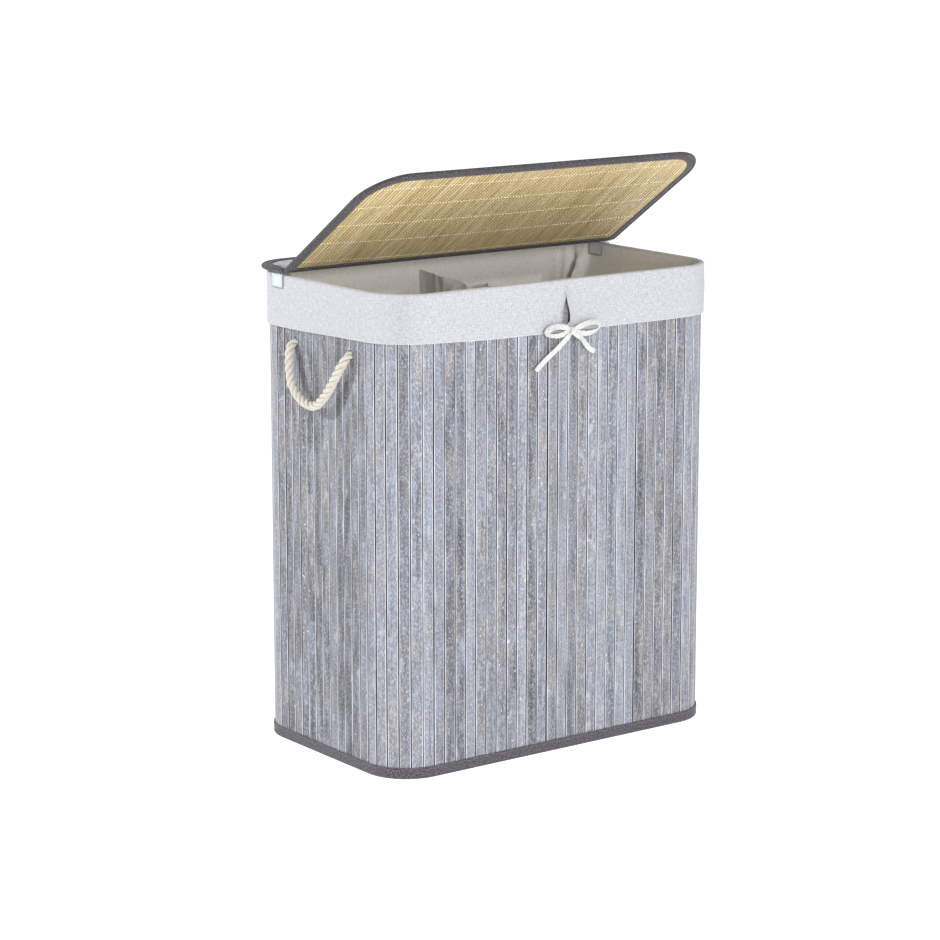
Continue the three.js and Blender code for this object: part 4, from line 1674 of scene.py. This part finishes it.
@dataclass
class Bow:
    """The bow of flat cotton tape on the cuff's front."""

    finishes: Finishes
    x: float = 5.0
    y: float = -164.0
    z: float = 534.0
    thick: float = 1.3 * MM

    def route(self, points: Sequence[Point]) -> list[Vector]:
        """A smooth line through points given from the knot: across, out and up."""
        path = [Vector((self.x + x, self.y - out, self.z + z)) * MM for x, out, z in points]
        return resampled(path, 1.2 * MM)

    def ribbon(
        self,
        name: str,
        points: Sequence[Point],
        width: float,
        turn: Callable[[float], float],
    ) -> tuple[bpy.types.Object, list[Vector]]:
        """A tape along a route, turned on its line as it goes.

        Args:
            name: its name.
            points: the route.
            width: the tape's width.
            turn: its turn in radians, for a place from 0 to 1.

        Returns:
            The tape and its centre line.
        """
        path = self.route(points)
        ahead = (path[1] - path[0]).normalized()
        flat = Vector((0, 1, 0)).cross(ahead)

        def section(_: int, share: float) -> list[tuple[float, float]]:
            a, pinch = turn(share), 1 - 0.25 * (1 - ease(min(share, 1 - share), 0, 0.12))
            return [
                (p * pinch * math.cos(a) - q * math.sin(a), p * pinch * math.sin(a) + q * math.cos(a))
                for p, q in tape_section(width, self.thick)
            ]

        made = swept(name, path, section, flat)
        smooth(made, 60)
        return made, path

    def build(self) -> None:
        """Builds the loops, tails and knot."""
        pieces = (
            (
                "bow_left_loop",
                7.2,
                (
                    (-3.4, 0.8, 1.8), (-6.5, 1.4, 3.4), (-14, 2.8, 6.0), (-24, 3.4, 7.6), (-32.5, 2.8, 6.6),
                    (-37.6, 1.4, 3.2), (-37.2, 0.2, -0.8), (-31, -0.4, -3.4), (-21, 0.2, -4.4), (-12, 0.8, -3.2),
                    (-6, 0.8, -1.6), (-3, 0.6, -0.8),
                ),
                lambda share: 0.62 * math.sin(share * 5.2 - 0.4),
            ),
            (
                "bow_right_loop",
                6.8,
                (
                    (3.4, 0.8, 1.4), (6.5, 1.6, 2.8), (15, 3, 5.6), (26, 3.4, 8.2), (36.5, 3, 7.4),
                    (43, 1.8, 4.0), (43.2, 0.4, -0.6), (36.5, -0.2, -4.2), (25, 0.4, -5.6), (14, 0.8, -4.2),
                    (6, 0.8, -2), (3, 0.6, -1),
                ),
                lambda share: -0.6 * math.sin(share * 5.4 - 0.2),
            ),
        )
        for name, width, points, turn in pieces:
            loop, path = self.ribbon(f"{name}_tape", points, width * MM, turn)
            dress(loop, self.finishes.tape, Body.LINER)
            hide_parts(name)
        tails = (
            (
                "bow_left_tail",
                6.8,
                (
                    (-2.8, 1.4, -3.2), (-6, 2.7, -5.8), (-11, 2.8, -9.6), (-18, 2.2, -15.8), (-26, 0.8, -22.6),
                    (-35, -1, -30), (-44, -2.2, -37.8), (-52.4, -2.9, -45.2),
                ),
                lambda share: 0.1 - 0.18 * math.sin(share * 4),
            ),
            (
                "bow_right_tail",
                6.4,
                (
                    (2.8, 1.4, -3.2), (6, 2.7, -5.4), (11, 3, -8.6), (17, 2.4, -13.4), (22, 1.4, -18.8),
                    (28, 0, -24.4), (37.5, -1.6, -29.8),
                ),
                lambda share: 1.0 * ease(share, 0.02, 0.3) - 0.95 * ease(share, 0.45, 0.8),
            ),
        )
        for name, width, points, turn in tails:
            tail, path = self.ribbon(f"{name}_tape", points, width * MM, turn)
            dress(tail, self.finishes.tape, Body.LINER)
            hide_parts(name)
        self.knot()

    def knot(self) -> None:
        """The knot: a soft core with the tape drawn round it in two turns."""
        centre = Vector((self.x, self.y, self.z)) * MM
        bpy.ops.mesh.primitive_uv_sphere_add(segments=20, ring_count=12, radius=3.6 * MM, location=centre)
        core = take("knot_core")
        core.data.uv_layers[0].name = "Weave"
        for v in core.data.vertices:
            away = v.co - centre
            away.z *= 1.12
            v.co = centre + away * (1 + 0.12 * noise.noise(away * 420))
        parts = [core]
        for lean, shift, reach in ((0.16, -1.3, 4.6), (-0.2, 1.5, 4.25)):
            ring = []
            for i in range(37):
                a = math.tau * i / 36
                ring.append(
                    centre
                    + Vector(
                        (
                            shift * MM + lean * reach * MM * math.sin(a),
                            -reach * MM * math.cos(a) * 0.86,
                            reach * MM * math.sin(a),
                        )
                    )
                )
            section = tape_section(3.9 * MM, 1.1 * MM)
            parts.append(swept("knot_turn", ring, lambda i, s, section=section: section, Vector((1, 0, 0))))
        made = joined("bow_knot_tape", parts)
        smooth(made, 60)
        dress(made, self.finishes.tape, Body.LINER)
        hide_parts("bow_knot")


# ---- the lid ----


@dataclass(frozen=True)
class PanelPlan:
    """A lid panel's outline: three plain sides and two round corners, or the other way about."""

    half_x: float
    straight_y: float
    round_y: float
    radius: float

    def stations(self, step: float) -> list[Station]:
        """Walks the outline from one sharp corner round to the other and back along the fold."""
        side = 1 if self.round_y > self.straight_y else -1
        cx, cy = self.half_x - self.radius, self.round_y - side * self.radius
        found: list[Station] = []

        def line(x0: float, y0: float, x1: float, y1: float, nx: float, ny: float) -> None:
            """Adds stations from one point up to another, without its end."""
            count = max(1, round(math.dist((x0, y0), (x1, y1)) / step))
            for i in range(count):
                t = i / count
                found.append(Station(x0 + (x1 - x0) * t, y0 + (y1 - y0) * t, nx, ny, 0.0))

        def corner(x: float, start: float, sweep: float) -> None:
            """Adds a round corner."""
            for i in range(16):
                a = math.radians(start + sweep * i / 16)
                found.append(
                    Station(
                        x + self.radius * math.cos(a),
                        cy + self.radius * math.sin(a),
                        math.cos(a),
                        math.sin(a),
                        0.0,
                    )
                )

        found.append(Station(self.half_x, self.straight_y, 1, -side, 0.0))
        line(self.half_x, self.straight_y + side * step, self.half_x, cy, 1, 0)
        corner(cx, 0, side * 90)
        line(cx, self.round_y, -cx, self.round_y, 0, side)
        corner(-cx, side * 90, side * 90)
        line(-self.half_x, cy, -self.half_x, self.straight_y + side * step, -1, 0)
        found.append(Station(-self.half_x, self.straight_y, -1, -side, 0.0))
        line(-self.half_x + step, self.straight_y, self.half_x - step / 2, self.straight_y, 0, -side)
        walked, gone = [], 0.0
        for i, s in enumerate(found):
            if i:
                gone += math.dist((s.x, s.y), (found[i - 1].x, found[i - 1].y))
            walked.append(Station(s.x, s.y, s.nx, s.ny, gone))
        return walked

    def span(self, x: float, inset: float) -> tuple[float, float]:
        """The outline's low and high y at an x, drawn in by an inset."""
        side = 1 if self.round_y > self.straight_y else -1
        cx = self.half_x - self.radius
        reach = self.radius - inset
        beyond = max(0.0, abs(x) - cx)
        drop = reach - math.sqrt(max(0.0, reach**2 - beyond**2))
        end = self.round_y - side * (inset + drop)
        start = self.straight_y + side * inset
        return (min(start, end), max(start, end))


@dataclass
class LidPanel:
    """One bound panel of the lid: grey slats over a mat of bamboo sticks, in a folded binding."""

    finishes: Finishes
    name: str
    body: Body
    plan: PanelPlan
    open_degrees: float = 0.0
    fold: Point = (0.0, 0.0715, 0.605)
    low: float = 599.6 * MM
    thick: float = 5.4 * MM
    bound: float = 13 * MM
    fold_bound: float = 9 * MM
    edge: float = 5.2 * MM
    stick_pitch: float = 5.3 * MM
    slat_pitch: float = 16 * MM
    threads: tuple[tuple[float, float, float], ...] = ((45, 2, 2),)
    seed: int = 3

    def build(self) -> None:
        """Builds the panel closed, then turns each piece up about the fold."""
        self.random = random.Random(self.seed)
        self.sticks()
        self.slats()
        self.binding()
        self.thread_lines()
        self.binding_stitches()

    def place(self, item: bpy.types.Object, material: bpy.types.Material, slot: Slot) -> bpy.types.Object:
        """Turns a piece about the fold and dresses it."""
        pivot = Vector(self.fold)
        turn = Matrix.Rotation(-math.radians(self.open_degrees), 4, "X")
        item.data.transform(Matrix.Translation(pivot) @ turn @ Matrix.Translation(-pivot))
        return dress(item, material, self.body)

    def strips(
        self, name: str, stock: SlatStock, pitch: float, face_z: float, down: bool
    ) -> bpy.types.Object:
        """Lays strips side by side, from the fold towards the far edge.

        Args:
            name: the run's name.
            stock: what they are cut from.
            pitch: from one to the next.
            face_z: the height of their rounded face.
            down: whether that face looks down.

        Returns:
            The run.
        """
        half = self.plan.half_x - self.edge
        count = round(2 * half / pitch)
        pitch = 2 * half / count
        template = stock.piece(pitch, 1.0)
        facing = Matrix.Rotation(math.radians(90 if down else -90), 4, "X")
        parts = []
        for i in range(count):
            x = -half + (i + 0.5) * pitch
            low, high = self.plan.span(abs(x) + pitch / 2, self.edge)
            strip = copied(template, Matrix.Diagonal((1, 1, high - low, 1)))
            stock.mark(strip, self.random.random(), self.random.uniform(0, 60), pitch - stock.gap)
            spot = Vector((x, (low + high) / 2, face_z))
            tilt = Matrix.Rotation(math.radians(self.random.uniform(-stock.turn, stock.turn)), 4, "Y")
            strip.data.transform(Matrix.Translation(spot) @ tilt @ facing)
            parts.append(strip)
        bpy.data.objects.remove(template)
        made = joined(name, parts)
        smooth(made, 60)
        return made

    def sticks(self) -> None:
        """The mat of fine sticks that shows under the panel."""
        stock = SlatStock(0.95 * MM, 0.7 * MM, 0.75 * MM, segments=2, turn=1.0)
        made = self.strips(f"{self.name}_stick_mat", stock, self.stick_pitch, self.low + 1.1 * MM, True)
        self.place(made, self.finishes.natural, Slot.NATURAL_BAMBOO)
        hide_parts(f"{self.name}_mat")

    def slats(self) -> None:
        """The grey slats on top."""
        stock = SlatStock(1.9 * MM, 0.8 * MM, 0.45 * MM)
        made = self.strips(f"{self.name}_top_slats", stock, self.slat_pitch, self.low + 4.2 * MM, False)
        self.place(made, self.finishes.grey, Slot.GREY_BAMBOO)
        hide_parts(f"{self.name}_slats")

    def within(self, s: Station, inset: float, z: float) -> Vector:
        """A point this far in from the outline, where the tape along the fold is narrower."""
        side = 1 if self.plan.round_y > self.plan.straight_y else -1
        flat = self.edge
        if s.ny * side >= 0 or inset <= flat:
            return s.at(inset, z)
        return s.at(inset, z, flat + (inset - flat) * (self.fold_bound - flat) / (self.bound - flat))

    def binding(self) -> None:
        """The tape folded round the panel's edge, rolled over the wire."""
        half = self.thick / 2
        rows = []
        stations = self.plan.stations(6 * MM)
        roll = 2.35 * MM
        for s in stations:
            ripple = 0.3 * MM * noise.noise(Vector((s.x * 30, s.y * 30, self.seed)))
            section = [(self.bound + ripple, half - 0.75 * MM), (self.bound - 2.6 * MM, half - 0.5 * MM)]
            section += [(8.4 * MM, half - 0.62 * MM), (6.6 * MM, half - 0.5 * MM), (5.7 * MM, half - 1.1 * MM)]
            for k in range(15):
                a = math.radians(50 + 260 * k / 14)
                section.append((roll + 0.4 * MM + roll * math.cos(a), roll * math.sin(a)))
            section += [(d, -h) for d, h in reversed(section[:5])]
            spots = zip(section, walked(section))
            rows.append([(self.within(s, d, self.low + half + h), (s.along, gone)) for (d, h), gone in spots])
        tape = cloth_grid(f"{self.name}_binding_tape", rows, stations[-1].along + 6 * MM)
        apply_modifier(tape, "SOLIDIFY", thickness=0.7 * MM, offset=0.0)
        smooth(tape, 45)
        # The lid's tape takes the darker copy of the binding: painted shade.
        self.place(tape, self.finishes.binding_painted_darker, Slot.BINDING)
        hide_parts(f"{self.name}_binding")

    def thread_lines(self) -> None:
        """The cream threads sewn across the sticks, under the panel."""
        plan, lines = self.plan, []
        face = self.low + 0.95 * MM
        side = 1 if plan.round_y > plan.straight_y else -1
        for k, (start, left, right) in enumerate(self.threads):

            def line(x: float) -> float:
                """The thread's y at an x: it strays a little towards its ends."""
                stray = (left if x < 0 else right) * (x / plan.half_x) ** 2
                return plan.straight_y + side * (start + stray) * MM

            ends = []
            for way in (-1, 1):
                reach = 0.0
                while reach < plan.half_x - self.bound - 1 * MM:
                    bottom, top = plan.span(reach, self.bound)
                    if not bottom + 1 * MM < line(way * reach) < top - 1 * MM:
                        break
                    reach += 1 * MM
                ends.append(way * reach)
            count = round((ends[1] - ends[0]) / (4.5 * MM))
            xs = [ends[0] + (ends[1] - ends[0]) * i / count for i in range(count + 1)]
            path = [Vector((x, line(x) + 0.3 * MM * math.sin(i * 1.7), face)) for i, x in enumerate(xs)]
            stitch = Stitches(length=3.1 * MM, radius=0.42 * MM)
            lines.append(stitch.run(f"thread_{k}", path, lambda p: Vector((0, 0, -1))))
        made = joined(f"{self.name}_threads", lines)
        self.place(made, self.finishes.thread, Slot.NATURAL_BAMBOO)

    def binding_stitches(self) -> None:
        """The dark stitches along the binding's inner edge, above and below."""
        runs = []
        face = self.thick / 2 - 0.12 * MM
        for name, height, up in (("top", face, 1), ("under", -face, -1)):
            stations = self.plan.stations(4.2 * MM)
            path = [self.within(s, self.bound - 2.6 * MM, self.low + self.thick / 2 + height) for s in stations]
            path.append(path[0])
            stitch = Stitches(radius=0.24 * MM)
            runs.append(stitch.run(name, path, lambda p, up=up: Vector((0, 0, up))))
        made = joined(f"{self.name}_binding_stitches", runs)
        self.place(made, self.finishes.dark_thread, Slot.BINDING)


@dataclass
class Lid:
    """The lid: a rear strip on two clips, and a flap that folds up along a cloth hinge."""

    finishes: Finishes
    half_x: float = 261.5 * MM
    back: float = 161.5 * MM
    fore: float = -167.5 * MM
    radius: float = 59 * MM
    fold_y: float = 71.5 * MM
    top: float = 605 * MM
    open_degrees: float = 34.0
    clip_y: float = 89 * MM
    clip_w: float = 26 * MM

    def build(self) -> None:
        """Builds both panels, the hinge and the clips."""
        rear = PanelPlan(self.half_x, self.fold_y + 1 * MM, self.back, self.radius)
        flap = PanelPlan(self.half_x, self.fold_y - 0.4 * MM, self.fore, self.radius)
        threads = ((15, 11, 5), (63, 11, 6), (110.5, 8, 7), (157.5, 5, 8), (204, 2, 9))
        LidPanel(self.finishes, "lid_rear", Body.LID_REAR, rear, seed=11).build()
        LidPanel(
            self.finishes, "lid_flap", Body.LID_FLAP, flap, self.open_degrees, threads=threads, seed=5
        ).build()
        self.hinge()
        for name, sign in (("left", -1), ("right", 1)):
            self.clip(name, sign)

    def hinge(self) -> None:
        """The cloth strip sewn across the fold, from one binding's top to the other's."""
        rows = []
        half = self.half_x - 9 * MM
        turn = math.radians(self.open_degrees)
        for i in range(85):
            x = -half + 2 * half * i / 84
            row = []
            for t in range(-6, 7):
                rise = 0.25 * MM - 0.9 * MM * math.exp(-((t / 1.4) ** 2))
                reach = t * MM
                if reach < 0:
                    y = self.fold_y + reach * math.cos(turn) + rise * math.sin(-turn) * -1
                    z = self.top - reach * math.sin(turn) + rise * math.cos(turn)
                else:
                    y, z = self.fold_y + reach, self.top + rise
                row.append((Vector((x, y, z)), (x, reach)))
            rows.append(row)
        cloth = cloth_grid("hinge_cloth", rows)
        apply_modifier(cloth, "SOLIDIFY", thickness=0.45 * MM, offset=0.0)
        smooth(cloth, 70)
        # The hinge takes the darker copy of the binding: painted shade.
        dress(cloth, self.finishes.binding_painted_darker, None)
        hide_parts("hinge_tape")
        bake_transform(cloth)

    def clip(self, name: str, sign: int) -> None:
        """A clip of clear sheet bent over the rim.

        Args:
            name: the side's name.
            sign: the side, as the sign of x.
        """
        route = []
        outer, inner, web, leg = -4.15 * MM, 8.15 * MM, 598.25 * MM, 580.4 * MM
        radius = 2.2 * MM
        rises = (0, 0.05, 0.12, 0.3, 0.5, 0.7, 0.85)
        for share in rises:
            route.append((outer, leg + (web - radius - leg) * share))
        for k in range(7):
            a = math.pi - math.pi / 2 * k / 6
            route.append((outer + radius + radius * math.cos(a), web - radius + radius * math.sin(a)))
        for k in range(7):
            a = math.pi / 2 - math.pi / 2 * k / 6
            route.append((inner - radius + radius * math.cos(a), web - radius + radius * math.sin(a)))
        for share in reversed(rises):
            route.append((inner, leg + (web - radius - leg) * share))
        rows = []
        for share in (-1, -0.95, -0.86, -0.5, 0, 0.5, 0.86, 0.95, 1):
            row = []
            for k, (d, z) in enumerate(route):
                trim = 1 - 0.1 * (1 - ease(z, leg, leg + 4 * MM)) ** 2
                y = self.clip_y + share * self.clip_w / 2 * trim
                row.append((Vector((sign * (WALL.half_x - d), y, z)), (y, k * 2 * MM)))
            rows.append(row)
        made = cloth_grid(f"{name}_clip_sheet", rows)
        rounding = {"limit_method": "ANGLE", "angle_limit": math.radians(50)}
        apply_modifier(made, "SOLIDIFY", thickness=1.3 * MM, offset=0.0)
        apply_modifier(made, "BEVEL", width=0.25 * MM, segments=2, **rounding)
        edited(made, "EDGE", None, bpy.ops.mesh.normals_make_consistent, inside=False)
        smooth(made, 40)
        # The side edges and the legs' ends are marked for the plastic's painted shade.
        cut = [abs(v.co.y - self.clip_y) > 12.1 * MM or v.co.z < leg + 0.9 * MM for v in made.data.vertices]
        point_values(made, "rim", [float(near) for near in cut])
        dress(made, self.finishes.plastic, Body.LID_REAR)
        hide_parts(f"{name}_clip")


# ---- the studio ----


@dataclass
class Studio:
    """A pale floor, soft light and the camera."""

    azimuth: float = -36.59
    elevation: float = 11.75
    distance: float = 3.918
    lens: float = 117.93
    target: Point = (-0.0277, 0.0, 0.3365)

    def camera(self) -> None:
        """Adds the camera."""
        a, e = math.radians(self.azimuth), math.radians(self.elevation)
        away = Vector((math.sin(a) * math.cos(e), -math.cos(a) * math.cos(e), math.sin(e)))
        spot = Vector(self.target) + away * self.distance
        bpy.ops.object.camera_add(location=spot, rotation=away.to_track_quat("Z", "Y").to_euler())
        camera = bpy.context.object
        camera.data.lens = self.lens
        camera.data.sensor_width = 36.0
        camera.data.clip_end = 100.0
        bpy.context.scene.camera = camera

    def light(self) -> None:
        """Adds the lights, round panels from small and hard to large and soft, and the pale surround."""
        for name, spot, size, power in (
            ("main", (-0.7, -3.0, 1.2), 0.9, 44.0),
            ("key", (1.9, -2.6, 2.3), 0.25, 24.0),
            ("left_side", (-2.6, 1.7, 2.0), 0.18, 92.0),
            ("low_front", (-0.9, -3.1, 0.35), 1.2, 30.0),
        ):
            toward = (Vector((0, 0, 0.32)) - Vector(spot)).to_track_quat("-Z", "Y").to_euler()
            bpy.ops.object.light_add(type="AREA", location=spot, rotation=toward)
            lamp = bpy.context.object
            lamp.name = name
            lamp.data.shape = "DISK"
            lamp.data.size = size
            lamp.data.energy = power
        world = bpy.data.worlds.new("studio")
        bpy.context.scene.world = world
        world.use_nodes = True
        tree = world.node_tree
        surround = tree.nodes["Background"]
        surround.inputs["Color"].default_value = linear("FFFFFF")
        surround.inputs["Strength"].default_value = 0.42

    def floor(self) -> None:
        """Adds the pale floor."""
        bpy.ops.mesh.primitive_plane_add(size=80.0, location=(0, 0, -0.3 * MM))
        floor = take("studio_floor")
        material, tree = blank("pale_floor")
        shade(
            tree,
            {
                "Base Color": linear("C8C8C8"),
                "Roughness": 0.9,
                "Emission Color": linear("FFFFFF"),
                "Emission Strength": 0.86,
            },
        )
        floor.data.materials.append(material)

    def build(self) -> None:
        """Adds the light and the floor, and keeps colours as they are lit."""
        self.light()
        self.floor()
        bpy.context.scene.view_settings.view_transform = "Standard"


def dress_hidden(nodes: dict[str, bpy.types.Object], finishes: Finishes) -> None:
    """Gives the frame's own wire hoops and base board their finishes."""
    for name in ("top_hoop", "bottom_hoop", "lid_rear_wire_frame", "lid_flap_wire_frame"):
        nodes[name].data.materials.clear()
        nodes[name].data.materials.append(finishes.steel)
    nodes["base_board"].data.materials.clear()
    nodes["base_board"].data.materials.append(finishes.board)


def main() -> None:
    """Builds the hamper round its frame."""
    logging.basicConfig(level=logging.INFO, format="%(message)s")
    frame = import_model()
    bpy.ops.object.select_all(action="DESELECT")
    studio = Studio()
    studio.camera()
    finishes = Finishes()
    RopeHandle(finishes, "left", -1, "left_rope_handle", Body.LEFT_HANDLE).build()
    RopeHandle(finishes, "right", 1, "right_rope_handle", Body.RIGHT_HANDLE).build()
    Liner(finishes).build()
    SlatWall(finishes).build()
    WallCloth(finishes).build()
    Lid(finishes).build()
    dress_hidden(frame["nodes"], finishes)
    studio.build()


if __name__ == "__main__":
    main()
